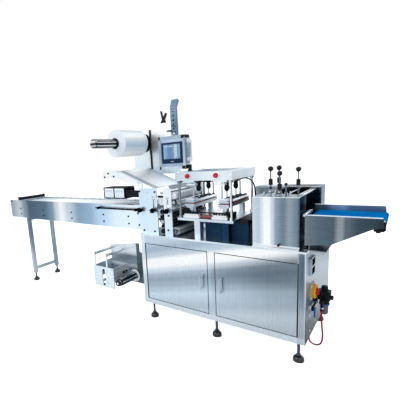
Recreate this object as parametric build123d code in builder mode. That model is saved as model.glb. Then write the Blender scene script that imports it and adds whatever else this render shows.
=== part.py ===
from build123d import *
from math import cos, radians, sin, tan
import os

os.makedirs("parts", exist_ok=True)

# Cabinet
cab_left = 223.5
cab_front = -287
cab_length = 1216
cab_depth = 733
cab_bottom = 145
deck = 723
deck_thick = 12
post_width = 40
mullion_place = 590
mullion_width = 52
bottom_rail = 40
top_rail = 61
corner_radius = 5
sheet = 3
access_front = 80
access_width = 180
access_low = 185
access_height = 130
access_corner = 25
door_thick = 20
door_sheet = 2
door_gap = 5
hinge_radius = 8
pin_radius = 4
pin_clear = 0.3
latch_width = 14
latch_height = 106
latch_proud = 24
latch_inset = 42

# Feet
foot_inset = 48
foot_depth = 60
foot_plate_size = 70
foot_plate_thick = 8
foot_pad_radius = 33
foot_pad_height = 34
foot_rod_radius = 8
foot_nut = 12

# Long conveyor
plate_inset = 35
plate_thick = 8
conveyor_width = 336
conveyor_length = 2015.5
conveyor_top = 947
conveyor_plate_height = 202
plate_corner = 8
belt_roller_radius = 30
belt_thick = 3
belt_side_gap = 7
belt_drop = 14
belt_end_gap = 12
bed_thick = 3
bed_lip = 26
tie_places = (213, 653, 1126, 1574, 1872)
tie_radius = 9
tie_heights = (45, 105)
stand_place = 325
stand_foot = 90
leg_width = 40
leg_corner = 4
stand_bar = 144
stand_bar_width = 30
hold_down_place = 202
hold_down_height = 38
hold_down_width = 40

# Roller unit on the cabinet's left end
unit_depth = 430
unit_height = 362
plate_a_left = -15
plate_a_width = 175
plate_b_left = 222
plate_b_width = 70
roller_shaft_radius = 8
roller_end_gap = 8
groove_depth = 4
groove_pitch = 20
slot_width = 12
slot_length = 100
slot_up = 240
slot_inset = 33
knob_drop = 50
knob_radius = 20
knob_lobe = 7
knob_thick = 20
knob_neck = 14
rod_up = 189
rod_radius = 6
rod_start = -508
rod_end = -30
rod_proud = 22

# Film path above the roller unit
idler_place = -251
idler_height = 1206
idler_radius = 15
arm_thick = 8
arm_reach = 158
arm_rise = 30
arm_fall = 43
arm_depth = 50
cover_thick = 3
cover_lip = 22
cover_lift = 18

# Upper reel and its panel
reel_place = -281
reel_height = 1455
reel_shaft_radius = 34
reel_free_length = 242
reel_front = -160
reel_collar = 8
reel_journal = 15
reel_seat_clear = 1
panel_inset = 548
panel_thick = 10
panel_reach = 179
panel_right = 60
panel_drop = 290
panel_rise = 165
film_radius = 112
film_width = 312
core_radius = 45
core_proud = 6
flange_radius = 85
flange_gap = 76
flange_thick = 6
rib_count = 6
rib_thick = 6
running_clear = 0.05
post_left = -2
reel_post_width = 62
reel_post_thick = 20
reel_post_rise = 120
post_hole_radius = 7
post_hole_pitch = 48
edge_bar_place = -251
edge_bar_width = 14

# Operator panel
hmi_left = 87
hmi_width = 242
hmi_depth = 75
hmi_low = 1215
hmi_height = 256
hmi_front = 200
hmi_corner = 12
hmi_recess = 3
hmi_border = 22
hmi_handle_radius = 7
hmi_handle_proud = 28
swivel_radius = 9

# Sealing unit
frame_left = 325
frame_width = 438
frame_front = 53
frame_depth = 412
rail_height = 60
rail_width = 40
frame_top = 1196
frame_plate = 14
base_top = 865
base_thick = 18
column_width = 48
guide_post_radius = 9
collar_radius = 15
collar_height = 18
seal_height = 972
seal_gap = 5
strip_thick = 4
platen_height = 20
lower_platen_height = 34
platen_left_inset = 62
platen_left_width = 76
platen_right_inset = 319
platen_right_width = 80
platen_end_gap = 22
pedestal_width = 34
cylinder_radius = 16
cylinder_wall = 5
cylinder_rod_radius = 5
cylinder_length = 90
cylinder_inset = 128
rod_shift = 19
guide_rod_radius = 6
guide_clear = 0.5
guide_inset = 49
guide_rod_length = 156
seal_stroke = 40
stroke_clear = 21
stop_radius = 15
stop_inset = 105
stop_drop = 27

# Cutter and its housings
housing_left = 900
housing_width = 275
housing_inset = 19
housing_depth = 145
housing_height = 311
housing_sheet = 2.5
flange_proud = 12
flange_height = 6
back_housing_left = 712
back_housing_right = 1178
back_housing_inset = 605
back_housing_height = 317
cutter_bed_height = 202
cutter_roller_radius = 24
ball_radius = 16
lever_radius = 5

# Discharge conveyor
out_reach = 1197
out_length = 362.5
out_inset = 35
out_width = 260
out_top = 934
out_height = 180
out_nose = 50
out_nose_length = 45
out_foot_length = 130
out_roller_radius = 14
out_drive_radius = 26
out_belt_drop = 9
guide_rise = 24

# Lower reel
low_reel_place = -286
low_reel_height = 248
low_reel_radius = 25
low_reel_free = 221
low_reel_front = -16
low_disc_radius = 46
low_back_inset = 234
low_plate = 6
low_box_left = -600
low_box_right = -345
low_box_low = 175
low_box_high = 367
low_idler_height = 495
low_idler_radius = 13
low_idler_places = (-573, -422)

# Fittings on the cabinet's right side
socket_front = 75
socket_width = 103
socket_low = 560
socket_height = 105
switch_place = 160
switch_height = 437
switch_size = 100
air_front = 325
air_proud = 54
air_height = 372
bowl_radius = 24
bowl_length = 78
valve_front = 150
valve_height = 322
hose_radius = 5

# Derived places
cab_right = cab_left + cab_length
cab_back = cab_front + cab_depth
worktop_low = deck - deck_thick
door_low = cab_bottom + bottom_rail + door_gap
door_high = worktop_low - top_rail - door_gap
mullion_left = cab_left + mullion_place
left_door_left = cab_left + post_width + door_gap
left_door_right = mullion_left - door_gap
right_door_left = mullion_left + mullion_width + door_gap
right_door_right = cab_right - post_width - door_gap
cab_mid = (cab_left + cab_right) / 2
deck_mid = (cab_front + cab_back) / 2
plate_front = cab_front + plate_inset
plate_back = plate_front + conveyor_width
inner_front = plate_front + plate_thick
inner_back = plate_back - plate_thick
conveyor_left = cab_left - conveyor_length
conveyor_low = conveyor_top - conveyor_plate_height
unit_back = plate_front + unit_depth
unit_inner_back = unit_back - plate_thick
unit_top = deck + unit_height
plate_a_x = cab_left + plate_a_left
plate_a_right = plate_a_x + plate_a_width
plate_b_x = cab_left + plate_b_left
plate_b_right = plate_b_x + plate_b_width


def block(x1, x2, y1, y2, z1, z2, mode=Mode.ADD):
    """a box between two corners, added to the sub-part being built"""
    with Locations(((x1 + x2) / 2, (y1 + y2) / 2, (z1 + z2) / 2)):
        Box(abs(x2 - x1), abs(y2 - y1), abs(z2 - z1), mode=mode)


def bar_y(x, z, radius, y1, y2, mode=Mode.ADD):
    """a round bar that runs in depth"""
    with Locations((x, (y1 + y2) / 2, z)):
        Cylinder(radius, y2 - y1, rotation=(90, 0, 0), mode=mode)


def bar_z(x, y, radius, z1, z2, mode=Mode.ADD):
    """an upright round bar"""
    with Locations((x, y, (z1 + z2) / 2)):
        Cylinder(radius, z2 - z1, mode=mode)


def bar_x(y, z, radius, x1, x2, mode=Mode.ADD):
    """a round bar that runs along the machine"""
    with Locations(((x1 + x2) / 2, y, z)):
        Cylinder(radius, x2 - x1, rotation=(0, 90, 0), mode=mode)


def turned_y(x, z, profile, mode=Mode.ADD):
    """a piece turned about a line in depth, from pairs of radius and depth"""
    points = [(x + radius, y) for radius, y in profile]
    with BuildSketch(Plane.XY.offset(z)) as section:
        with BuildLine():
            Polyline((x, profile[0][1]), *points, (x, profile[-1][1]), close=True)
        make_face()
    revolve(section.sketch, axis=Axis((x, 0, z), (0, 1, 0)), mode=mode)


def turned_z(x, y, profile, mode=Mode.ADD):
    """a piece turned about an upright line, from pairs of radius and height"""
    points = [(x + radius, z) for radius, z in profile]
    with BuildSketch(Plane.XZ.offset(-y)) as section:
        with BuildLine():
            Polyline((x, profile[0][1]), *points, (x, profile[-1][1]), close=True)
        make_face()
    revolve(section.sketch, axis=Axis((x, y, 0), (0, 0, 1)), mode=mode)


def turned_x(y, z, profile, mode=Mode.ADD):
    """a piece turned about a line along the machine, from pairs of radius and place"""
    points = [(x, y + radius) for radius, x in profile]
    with BuildSketch(Plane.XY.offset(z)) as section:
        with BuildLine():
            Polyline((profile[0][1], y), *points, (profile[-1][1], y), close=True)
        make_face()
    revolve(section.sketch, axis=Axis((0, y, z), (1, 0, 0)), mode=mode)


def hose(points, radius):
    """a round hose along straight runs joined by the widest arcs they allow"""
    turns = []
    for before, at, after in zip(points, points[1:], points[2:]):
        into, out = Vector(*at) - Vector(*before), Vector(*after) - Vector(*at)
        turns.append(0.45 * min(into.length, out.length) / tan(radians(into.get_angle(out) / 2)))
    print("hose radii", [round(turn) for turn in turns])
    with BuildLine() as path:
        FilletPolyline(*points, radius=turns)
    with BuildSketch(Plane(origin=path.line @ 0, z_dir=path.line % 0)) as section:
        Circle(radius)
    sweep(section.sketch, path=path.line)


def upright_sheet(y, thick, points, radius=0):
    """a plate in the plane of the front, its outline given by corners, some rounded"""
    with BuildSketch(Plane.XZ.offset(-y)) as outline:
        with BuildLine():
            Polyline(*points, close=True)
        make_face()
        if radius:
            fillet(outline.vertices().group_by(Axis.Y)[-1], radius)
    extrude(outline.sketch, amount=-thick)


def rounded_tube(x, y, width, depth, z1, z2, radius):
    """an upright rectangular tube seen from outside, its corners rounded"""
    with BuildSketch(Plane.XY.offset(z1)) as outline:
        with Locations((x, y)):
            RectangleRounded(width, depth, radius)
    extrude(outline.sketch, amount=z2 - z1)


# Cabinet frame of welded tubes, its corners rounded, with a plate for each foot
foot_columns = (cab_left + foot_inset, mullion_left + mullion_width / 2, cab_right - foot_inset)
foot_rows = (cab_front + foot_depth, cab_back - foot_depth)
with BuildPart() as cabinet_frame:
    with BuildSketch(Plane.XY.offset(cab_bottom)):
        with Locations((cab_mid, deck_mid)):
            RectangleRounded(cab_length, cab_depth, corner_radius)
            Rectangle(cab_length - 2 * post_width, cab_depth - 2 * post_width, mode=Mode.SUBTRACT)
    extrude(amount=worktop_low - cab_bottom)
    for x1, x2 in ((cab_left + post_width, mullion_left), (mullion_left + mullion_width, cab_right - post_width)):
        block(x1, x2, cab_front, cab_back, cab_bottom + bottom_rail, worktop_low - top_rail, mode=Mode.SUBTRACT)
    block(cab_left, cab_right, cab_front + post_width, cab_back - post_width,
          cab_bottom + bottom_rail, worktop_low - top_rail, mode=Mode.SUBTRACT)
    half_plate = foot_plate_size / 2
    for x in foot_columns:
        for y in foot_rows:
            block(x - half_plate, x + half_plate, y - half_plate, y + half_plate,
                  cab_bottom, cab_bottom + foot_plate_thick)
cabinet_frame.part.label = "cabinet_frame"
export_step(cabinet_frame.part, "parts/cabinet_frame.step")

# Worktop with a softened upper edge
with BuildPart() as worktop:
    with BuildSketch(Plane.XY.offset(worktop_low)):
        with Locations((cab_mid, deck_mid)):
            RectangleRounded(cab_length, cab_depth, corner_radius)
    extrude(amount=deck_thick)
    chamfer(worktop.faces().sort_by(Axis.Z)[-1].edges(), 1.5)
worktop.part.label = "worktop"
export_step(worktop.part, "parts/worktop.step")

# Floor pan, back sheets and side sheets set in the frame, with an access cover on the right
with BuildPart() as cabinet_panels:
    block(cab_left + post_width, cab_right - post_width, cab_front + post_width, cab_back - post_width,
          cab_bottom + bottom_rail - sheet, cab_bottom + bottom_rail)
    for x1, x2 in ((cab_left + post_width, mullion_left), (mullion_left + mullion_width, cab_right - post_width)):
        block(x1, x2, cab_back - sheet, cab_back, cab_bottom + bottom_rail, worktop_low - top_rail)
    for x1, x2 in ((cab_left, cab_left + sheet), (cab_right - sheet, cab_right)):
        block(x1, x2, cab_front + post_width, cab_back - post_width,
              cab_bottom + bottom_rail, worktop_low - top_rail)
    with BuildSketch(Plane.YZ.offset(cab_right)):
        with Locations((cab_front + access_front + access_width / 2, access_low + access_height / 2)):
            cover = Rectangle(access_width, access_height)
        chamfer(cover.vertices(), access_corner)
    extrude(amount=sheet)
cabinet_panels.part.label = "cabinet_panels"
export_step(cabinet_panels.part, "parts/cabinet_panels.step")

# Doors: folded pans, rounded about the hinge pins so that the edge clears the post
pan_depth = door_thick - door_sheet
with BuildPart() as left_door:
    block(left_door_left, left_door_right, cab_front, cab_front + door_thick, door_low, door_high)
    fillet(left_door.edges().filter_by(Axis.Z).group_by(Axis.X)[0].group_by(Axis.Y)[0], hinge_radius)
    block(left_door_left + 2 * hinge_radius + 2, left_door_right - door_sheet, cab_front + door_sheet,
          cab_front + door_sheet + pan_depth, door_low + door_sheet, door_high - door_sheet, mode=Mode.SUBTRACT)
    bar_z(left_door_left + hinge_radius, cab_front + hinge_radius, pin_radius,
          door_low - door_gap + pin_clear, door_high + door_gap - pin_clear)
left_door.part.label = "left_door"
export_step(left_door.part, "parts/left_door.step")

with BuildPart() as right_door:
    block(right_door_left, right_door_right, cab_front, cab_front + door_thick, door_low, door_high)
    fillet(right_door.edges().filter_by(Axis.Z).group_by(Axis.X)[-1].group_by(Axis.Y)[0], hinge_radius)
    block(right_door_left + door_sheet, right_door_right - 2 * hinge_radius - 2, cab_front + door_sheet,
          cab_front + door_sheet + pan_depth, door_low + door_sheet, door_high - door_sheet, mode=Mode.SUBTRACT)
    bar_z(right_door_right - hinge_radius, cab_front + hinge_radius, pin_radius,
          door_low - door_gap + pin_clear, door_high + door_gap - pin_clear)
right_door.part.label = "right_door"
export_step(right_door.part, "parts/right_door.step")

# Slim upright latch handles, each on two feet of a rounded back plate
door_mid = (door_low + door_high) / 2
latch_plate = 4
latch_grip = 8
for latch_name, latch_x in (("left_door_latch", left_door_right - latch_inset),
                            ("right_door_latch", right_door_left + latch_inset)):
    with BuildPart() as latch:
        with BuildSketch(Plane.XZ.offset(-cab_front)):
            with Locations((latch_x, door_mid)):
                RectangleRounded(latch_width, latch_height, latch_width / 3)
        extrude(amount=latch_plate)
        for z in (door_mid - latch_height / 2 + latch_width, door_mid + latch_height / 2 - latch_width):
            bar_y(latch_x, z, latch_width / 3, cab_front - latch_proud, cab_front - latch_plate)
        with BuildSketch(Plane.XZ.offset(-(cab_front - latch_proud))):
            with Locations((latch_x, door_mid)):
                RectangleRounded(latch_width - 4, latch_height, latch_width / 3)
        extrude(amount=latch_grip)
    latch.part.label = latch_name
    export_step(latch.part, f"parts/{latch_name}.step")

# Levelling feet of the cabinet and of the conveyor stand
stand_x = conveyor_left + stand_place
foot_places = []
for x in foot_columns:
    for y in foot_rows:
        foot_places.append((x, y, cab_bottom))
for y in (plate_front + leg_width / 2, plate_back - leg_width / 2):
    foot_places.append((stand_x, y, stand_foot))
with BuildPart() as levelling_feet:
    for x, y, top in foot_places:
        neck = foot_rod_radius + 5
        with BuildSketch(Plane.XZ.offset(-y)):
            with BuildLine():
                rim = Polyline((x, 0), (x + foot_pad_radius, 0), (x + foot_pad_radius, foot_pad_height / 3))
                dome = TangentArc(rim @ 1, (x + neck, foot_pad_height), tangent=(0, 1))
                Polyline(dome @ 1, (x + foot_rod_radius, foot_pad_height), (x + foot_rod_radius, top - foot_nut),
                         (x + neck, top - foot_nut), (x + neck, top), (x, top), (x, 0))
            make_face()
        revolve(axis=Axis((x, y, 0), (0, 0, 1)))
levelling_feet.part.label = "levelling_feet"
export_step(levelling_feet.part, "parts/levelling_feet.step")

# Long conveyor: side plates, the front one rising as the roller unit's first plate
slot_a_x = plate_a_right - slot_inset
slot_b_x = plate_b_x + plate_b_width / 2
slot_z = deck + slot_up
with BuildPart() as conveyor_plates:
    upright_sheet(plate_front, plate_thick,
                  ((conveyor_left, conveyor_low), (conveyor_left, conveyor_top), (plate_a_x, conveyor_top),
                   (plate_a_x, unit_top), (plate_a_right, unit_top), (plate_a_right, deck), (cab_left, deck),
                   (cab_left, conveyor_low)), plate_corner)
    with BuildSketch(Plane.XZ.offset(-plate_front)):
        with Locations((slot_a_x, slot_z)):
            SlotOverall(slot_length, slot_width, rotation=90)
    extrude(amount=-plate_thick, mode=Mode.SUBTRACT)
    upright_sheet(inner_back, plate_thick,
                  ((conveyor_left, conveyor_low), (conveyor_left, conveyor_top), (plate_a_x, conveyor_top),
                   (plate_a_x, conveyor_low)), plate_corner)
conveyor_plates.part.label = "conveyor_plates"
export_step(conveyor_plates.part, "parts/conveyor_plates.step")

# Belt bed, a channel whose lips turn down beside the belt, and the round ties under it
belt_axis = conveyor_top - belt_drop - belt_thick - belt_roller_radius
belt_x1 = conveyor_left + belt_end_gap + belt_roller_radius + belt_thick
belt_x2 = plate_a_x - belt_end_gap - belt_roller_radius - belt_thick
belt_y1 = inner_front + belt_side_gap
belt_y2 = inner_back - belt_side_gap
bed_top = belt_axis + belt_roller_radius
with BuildPart() as conveyor_bed:
    with BuildSketch(Plane.YZ.offset(belt_x1 + belt_roller_radius)):
        with BuildLine():
            Polyline((inner_front, bed_top - bed_lip), (inner_front, bed_top), (inner_back, bed_top),
                     (inner_back, bed_top - bed_lip), (inner_back - bed_thick, bed_top - bed_lip),
                     (inner_back - bed_thick, bed_top - bed_thick), (inner_front + bed_thick, bed_top - bed_thick),
                     (inner_front + bed_thick, bed_top - bed_lip), close=True)
        make_face()
    extrude(amount=belt_x2 - belt_x1 - 2 * belt_roller_radius)
    for place in tie_places:
        for height in tie_heights:
            bar_y(conveyor_left + place, conveyor_low + height, tie_radius, inner_front, inner_back)
conveyor_bed.part.label = "conveyor_bed"
export_step(conveyor_bed.part, "parts/conveyor_bed.step")

with BuildPart() as conveyor_belt:
    with BuildSketch(Plane.XZ.offset(-belt_y1)):
        with Locations(((belt_x1 + belt_x2) / 2, belt_axis)):
            SlotCenterToCenter(belt_x2 - belt_x1, 2 * (belt_roller_radius + belt_thick))
            SlotCenterToCenter(belt_x2 - belt_x1, 2 * belt_roller_radius, mode=Mode.SUBTRACT)
    extrude(amount=-(belt_y2 - belt_y1))
conveyor_belt.part.label = "conveyor_belt"
export_step(conveyor_belt.part, "parts/conveyor_belt.step")

# Dark hold-down roller across the conveyor's left end, in two small cheeks
hold_down_x = conveyor_left + hold_down_place
hold_down_radius = hold_down_height / 2 - 4
with BuildPart() as conveyor_cross_bar:
    for y in (plate_front, inner_back):
        with BuildSketch(Plane.XZ.offset(-y)):
            with Locations((hold_down_x, conveyor_top + hold_down_height / 2)):
                Rectangle(hold_down_width, hold_down_height)
        extrude(amount=-plate_thick)
        fillet(conveyor_cross_bar.edges().filter_by(Axis.Y).group_by(Axis.Z)[-1], 8)
    bar_y(hold_down_x, conveyor_top + hold_down_height / 2, hold_down_radius, inner_front, inner_back)
conveyor_cross_bar.part.label = "conveyor_cross_bar"
export_step(conveyor_cross_bar.part, "parts/conveyor_cross_bar.step")

# Stand under the conveyor's left end
with BuildPart() as conveyor_stand:
    for y in (plate_front + leg_width / 2, plate_back - leg_width / 2):
        rounded_tube(stand_x, y, leg_width, leg_width, stand_foot, conveyor_low, leg_corner)
    half_bar = stand_bar_width / 2
    block(stand_x - half_bar, stand_x + half_bar, plate_front + leg_width / 2, plate_back - leg_width / 2,
          stand_bar - half_bar, stand_bar + half_bar)
    block(stand_x - half_bar, stand_x + half_bar, plate_front + leg_width / 2, plate_back - leg_width / 2,
          conveyor_low - stand_bar_width, conveyor_low)
conveyor_stand.part.label = "conveyor_stand"
export_step(conveyor_stand.part, "parts/conveyor_stand.step")

# Roller unit: second front plate and the back plate
unit_right = cab_left + frame_left - 3
with BuildPart() as roller_unit_plates:
    upright_sheet(plate_front, plate_thick,
                  ((plate_b_x, deck), (plate_b_x, unit_top), (plate_b_right, unit_top), (plate_b_right, deck)),
                  plate_corner)
    with BuildSketch(Plane.XZ.offset(-plate_front)):
        with Locations((slot_b_x, slot_z)):
            SlotOverall(slot_length, slot_width, rotation=90)
    extrude(amount=-plate_thick, mode=Mode.SUBTRACT)
    upright_sheet(unit_inner_back, plate_thick,
                  ((plate_a_x, deck), (plate_a_x, unit_top), (unit_right, unit_top), (unit_right, deck)),
                  plate_corner)
roller_unit_plates.part.label = "roller_unit_plates"
export_step(roller_unit_plates.part, "parts/roller_unit_plates.step")

# Rollers between the unit's plates: place from the cabinet's left end, height over the deck, radius
gap_x = 190
nip_x = 300
plain_rubber = ((gap_x, 178, 18), (gap_x, 141, 16), (gap_x, 66, 14), (gap_x, 25, 20), (nip_x, 165, 24), (nip_x + 12, 37, 33))
grooved_rubber = ((nip_x, 118, 15), (nip_x, 85, 15))
steel_rollers_at = ((gap_x, 322, 12), (gap_x, 103, 20), (nip_x, 252, 22), (nip_x, 211, 13))
film_rollers_at = ((gap_x, 264, 36), (nip_x, 303, 26))
roll_y1 = inner_front + roller_end_gap
roll_y2 = unit_inner_back - roller_end_gap


def roller_profile(radius, crown=0):
    """a drum with softened ends on a shaft from plate to plate"""
    middle = (roll_y1 + roll_y2) / 2
    return ((roller_shaft_radius, inner_front), (roller_shaft_radius, roll_y1), (radius - 2, roll_y1),
            (radius, roll_y1 + 2), (radius + crown, middle), (radius, roll_y2 - 2), (radius - 2, roll_y2),
            (roller_shaft_radius, roll_y2), (roller_shaft_radius, unit_inner_back))


with BuildPart() as rubber_rollers:
    for place, height, radius in plain_rubber:
        turned_y(cab_left + place, deck + height, roller_profile(radius))
    for place, height, radius in grooved_rubber:
        turned_y(cab_left + place, deck + height, roller_profile(radius - groove_depth))
        rings = int((roll_y2 - roll_y1) / groove_pitch)
        for ring in range(rings):
            y = roll_y1 + (ring + 0.5) * groove_pitch
            bar_y(cab_left + place, deck + height, radius, y - groove_pitch / 4, y + groove_pitch / 4)
rubber_rollers.part.label = "rubber_rollers"
export_step(rubber_rollers.part, "parts/rubber_rollers.step")

with BuildPart() as film_rollers:
    for place, height, radius in film_rollers_at:
        turned_y(cab_left + place, deck + height, roller_profile(radius))
film_rollers.part.label = "film_rollers"
export_step(film_rollers.part, "parts/film_rollers.step")

# Slanted arms that carry the film idlers, under a sheet that slopes down to the unit
idler_x = cab_left + idler_place
arm_front = inner_front
arm_back = unit_inner_back - arm_thick
cover_x1 = idler_x + idler_radius + 20
cover_x2 = plate_a_right - 35
cover_z1 = idler_height + cover_lift
cover_z2 = unit_top + cover_thick / 2
cover_fall = (cover_z2 - cover_z1) / (cover_x2 - cover_x1)
arm_end = cab_left + 20
arm_top = cover_z1 + cover_fall * (arm_end - cover_x1) - 3 * cover_thick
with BuildPart() as film_arms:
    for y in (arm_front, arm_back):
        with BuildSketch(Plane.XZ.offset(-y)):
            with BuildLine():
                Polyline((idler_x - arm_reach, idler_height - arm_fall), (idler_x - arm_reach, idler_height + arm_rise),
                         (idler_x + idler_radius, idler_height + arm_rise),
                         (idler_x + idler_radius, cover_z1 - 3 * cover_thick), (arm_end, arm_top),
                         (arm_end, arm_top - arm_depth), (idler_x, idler_height - arm_fall), close=True)
            make_face()
        extrude(amount=-arm_thick)
    fillet(film_arms.edges().filter_by(Axis.Y).group_by(Axis.X)[0], 12)
film_arms.part.label = "film_arms"
export_step(film_arms.part, "parts/film_arms.step")

idler_y1 = arm_front + arm_thick
idler_y2 = arm_back
second_idler_x = idler_x - arm_reach + 3 * idler_radius
low_back = cab_front + low_back_inset
box_x1 = cab_left + low_box_left
low_idlers = [cab_left + place for place in low_idler_places]
low_idler_axis = low_idler_height - low_idler_radius
with BuildPart() as steel_rollers:
    for place, height, radius in steel_rollers_at:
        turned_y(cab_left + place, deck + height, roller_profile(radius))
    for x in (idler_x, second_idler_x):
        bar_y(x, idler_height, idler_radius, idler_y1, idler_y2)
    for x in low_idlers:
        bar_y(x, low_idler_axis, low_idler_radius, cab_front + low_plate, low_back)
    bar_y(box_x1 + 130, low_box_low + 70, low_idler_radius, cab_front - 14, low_back)
steel_rollers.part.label = "steel_rollers"
export_step(steel_rollers.part, "parts/steel_rollers.step")

with BuildPart() as film_cover:
    with BuildSketch(Plane.XZ.offset(-plate_front)):
        with BuildLine():
            Polyline((cover_x1, cover_z1), (cover_x2, cover_z2), (plate_a_right + 8, cover_z2))
        trace(line_width=cover_thick)
    extrude(amount=-unit_depth)
    for y in (plate_front, unit_back - cover_thick):
        with BuildSketch(Plane.XZ.offset(-y)):
            with BuildLine():
                Polyline((cover_x1, cover_z1), (cover_x1, cover_z1 - cover_lip),
                         (plate_a_x, cover_z2 - cover_fall * (cover_x2 - plate_a_x) - cover_lip),
                         (plate_a_x, cover_z2 - cover_fall * (cover_x2 - plate_a_x)), close=True)
            make_face()
        extrude(amount=-cover_thick)
film_cover.part.label = "film_cover"
export_step(film_cover.part, "parts/film_cover.step")

# Star knobs under the slots, and one that clamps the guide rod along the conveyor
rod_z = deck + rod_up
knob_z = slot_z - knob_drop
with BuildPart() as star_knobs:
    for x, z in ((slot_a_x, knob_z), (slot_b_x, knob_z), (cab_left, rod_z)):
        turned_y(x, z, ((slot_width / 2 - 0.5, plate_front), (slot_width / 2 - 0.5, plate_front - knob_neck)))
        bar_y(x, z, knob_radius / 2, plate_front - knob_neck, plate_front)
        with BuildSketch(Plane.XZ.offset(-(plate_front - knob_neck))):
            with Locations((x, z)):
                Circle(knob_radius - knob_lobe)
                with PolarLocations(knob_radius - knob_lobe, 5, start_angle=18):
                    Circle(knob_lobe)
        extrude(amount=knob_thick)
    bar_x(plate_front - rod_proud, rod_z, rod_radius, cab_left + rod_start, cab_left + rod_end)
    for x in (cab_left + rod_start + 30, cab_left + rod_end - 12):
        block(x - 8, x + 8, plate_front - rod_proud - 10, plate_front, rod_z - 10, rod_z + 10)
star_knobs.part.label = "star_knobs"
export_step(star_knobs.part, "parts/star_knobs.step")

# Panel that carries the upper reel, with a leg down to the worktop
panel_y = cab_front + panel_inset
reel_x = cab_left + reel_place
panel_left = reel_x - panel_reach
panel_top = reel_height + panel_rise
panel_low = reel_height - panel_drop
panel_leg = cab_left + panel_right
with BuildPart() as reel_panel:
    upright_sheet(panel_y, panel_thick,
                  ((panel_left, panel_low), (panel_left, panel_top), (panel_leg, panel_top), (panel_leg, deck),
                   (cab_left, deck), (cab_left, panel_low)), 2 * plate_corner)
    bar_y(reel_x, reel_height, reel_journal + running_clear, panel_y, panel_y + panel_thick, mode=Mode.SUBTRACT)
    block(cab_left, panel_leg, panel_y + panel_thick, panel_y + panel_thick + 70, deck, deck + panel_thick)
    block(panel_leg - panel_thick, panel_leg, panel_y + panel_thick, panel_y + panel_thick + 70,
          deck + panel_thick, panel_low)
reel_panel.part.label = "reel_panel"
export_step(reel_panel.part, "parts/reel_panel.step")

# Air shaft of the upper reel: free end, collar, seat of the core, thin journal in the panel
reel_y = cab_front + reel_front
film_y = reel_y + reel_free_length + reel_collar
film_back = film_y + film_width
flange_y = film_back + flange_gap
with BuildPart() as reel_shaft:
    seat = reel_shaft_radius - reel_seat_clear
    turned_y(reel_x, reel_height,
             ((reel_shaft_radius, reel_y), (reel_shaft_radius, reel_y + reel_free_length),
              (reel_shaft_radius + 6, reel_y + reel_free_length), (reel_shaft_radius + 6, film_y),
              (seat, film_y), (seat, panel_y - 12), (reel_journal + 5, panel_y - 12),
              (reel_journal + 5, panel_y - pin_clear), (reel_journal, panel_y - pin_clear),
              (reel_journal, panel_y + panel_thick + 30)))
reel_shaft.part.label = "reel_shaft"
export_step(reel_shaft.part, "parts/reel_shaft.step")

with BuildPart() as reel_flange:
    turned_y(reel_x, reel_height,
             ((reel_shaft_radius + 14, flange_y - 40), (reel_shaft_radius + 14, flange_y), (flange_radius, flange_y),
              (flange_radius, flange_y + flange_thick)))
    for rib in range(rib_count):
        turn = radians(360 / rib_count * rib)
        along = Plane(origin=(reel_x, 0, reel_height), x_dir=(cos(turn), 0, sin(turn)),
                      z_dir=(-sin(turn), 0, cos(turn)))
        with BuildSketch(along):
            with BuildLine():
                Polyline((reel_shaft_radius + 8, flange_y - 40), (flange_radius - 3, flange_y),
                         (reel_shaft_radius + 8, flange_y), close=True)
            make_face()
        extrude(amount=rib_thick / 2, both=True)
    bar_y(reel_x, reel_height, reel_shaft_radius - reel_seat_clear, flange_y - 40, flange_y + flange_thick,
          mode=Mode.SUBTRACT)
reel_flange.part.label = "reel_flange"
export_step(reel_flange.part, "parts/reel_flange.step")

with BuildPart() as film_roll:
    turned_y(reel_x, reel_height,
             ((core_radius, film_y), (core_radius, film_y + core_proud), (film_radius - 3, film_y + core_proud),
              (film_radius, film_y + core_proud + 3), (film_radius, film_back - 3), (film_radius - 3, film_back),
              (core_radius, film_back), (core_radius, film_back + core_proud)))
    bar_y(reel_x, reel_height, reel_shaft_radius - reel_seat_clear, film_y, film_back + core_proud, mode=Mode.SUBTRACT)
film_roll.part.label = "film_roll"
export_step(film_roll.part, "parts/film_roll.step")

# Perforated post above the panel, its top bent back
post_x1 = cab_left + post_left
post_x2 = post_x1 + reel_post_width
post_high = panel_top + reel_post_rise
with BuildPart() as reel_post:
    with BuildSketch(Plane.YZ.offset(post_x1)):
        with BuildLine():
            Polyline((panel_y - reel_post_thick, panel_top - 120), (panel_y - reel_post_thick, post_high),
                     (panel_y - reel_post_thick + 30, post_high + 65), (panel_y + 36, post_high + 52),
                     (panel_y, post_high - 6), (panel_y, panel_top - 120), close=True)
        make_face()
    extrude(amount=reel_post_width)
    for column in (1 / 3, 2 / 3):
        for row in range(5):
            bar_y(post_x1 + column * reel_post_width, post_high - 20 - row * post_hole_pitch, post_hole_radius,
                  panel_y - reel_post_thick, panel_y, mode=Mode.SUBTRACT)
reel_post.part.label = "reel_post"
export_step(reel_post.part, "parts/reel_post.step")

# Dark pieces on the reel panel: edge bar, forked clamp on its top, small lever by the post
clamp_x = cab_left - 90
with BuildPart() as reel_clamps:
    bar_left = cab_left + edge_bar_place
    block(bar_left - edge_bar_width / 2, bar_left + edge_bar_width / 2, panel_y - 10, panel_y,
          panel_low, panel_top - 45)
    with BuildSketch(Plane.XZ.offset(-(panel_y - 6))):
        with BuildLine():
            Polyline((clamp_x - 32, panel_top), (clamp_x - 14, panel_top + 30), (clamp_x - 30, panel_top + 105),
                     (clamp_x - 18, panel_top + 105), (clamp_x - 2, panel_top + 45), (clamp_x + 26, panel_top + 85),
                     (clamp_x + 38, panel_top + 75), (clamp_x + 14, panel_top + 28), (clamp_x + 24, panel_top), close=True)
        make_face()
    extrude(amount=-14)
    fillet(reel_clamps.edges().filter_by(Axis.Y).group_by(Axis.Z)[-1], 5)
    bar_y(post_x1 - 9, panel_top - 80, 8, panel_y - 38, panel_y)
    bar_x(panel_y - 28, panel_top - 80, 6, post_x1 - 40, post_x1 + 2)
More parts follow.
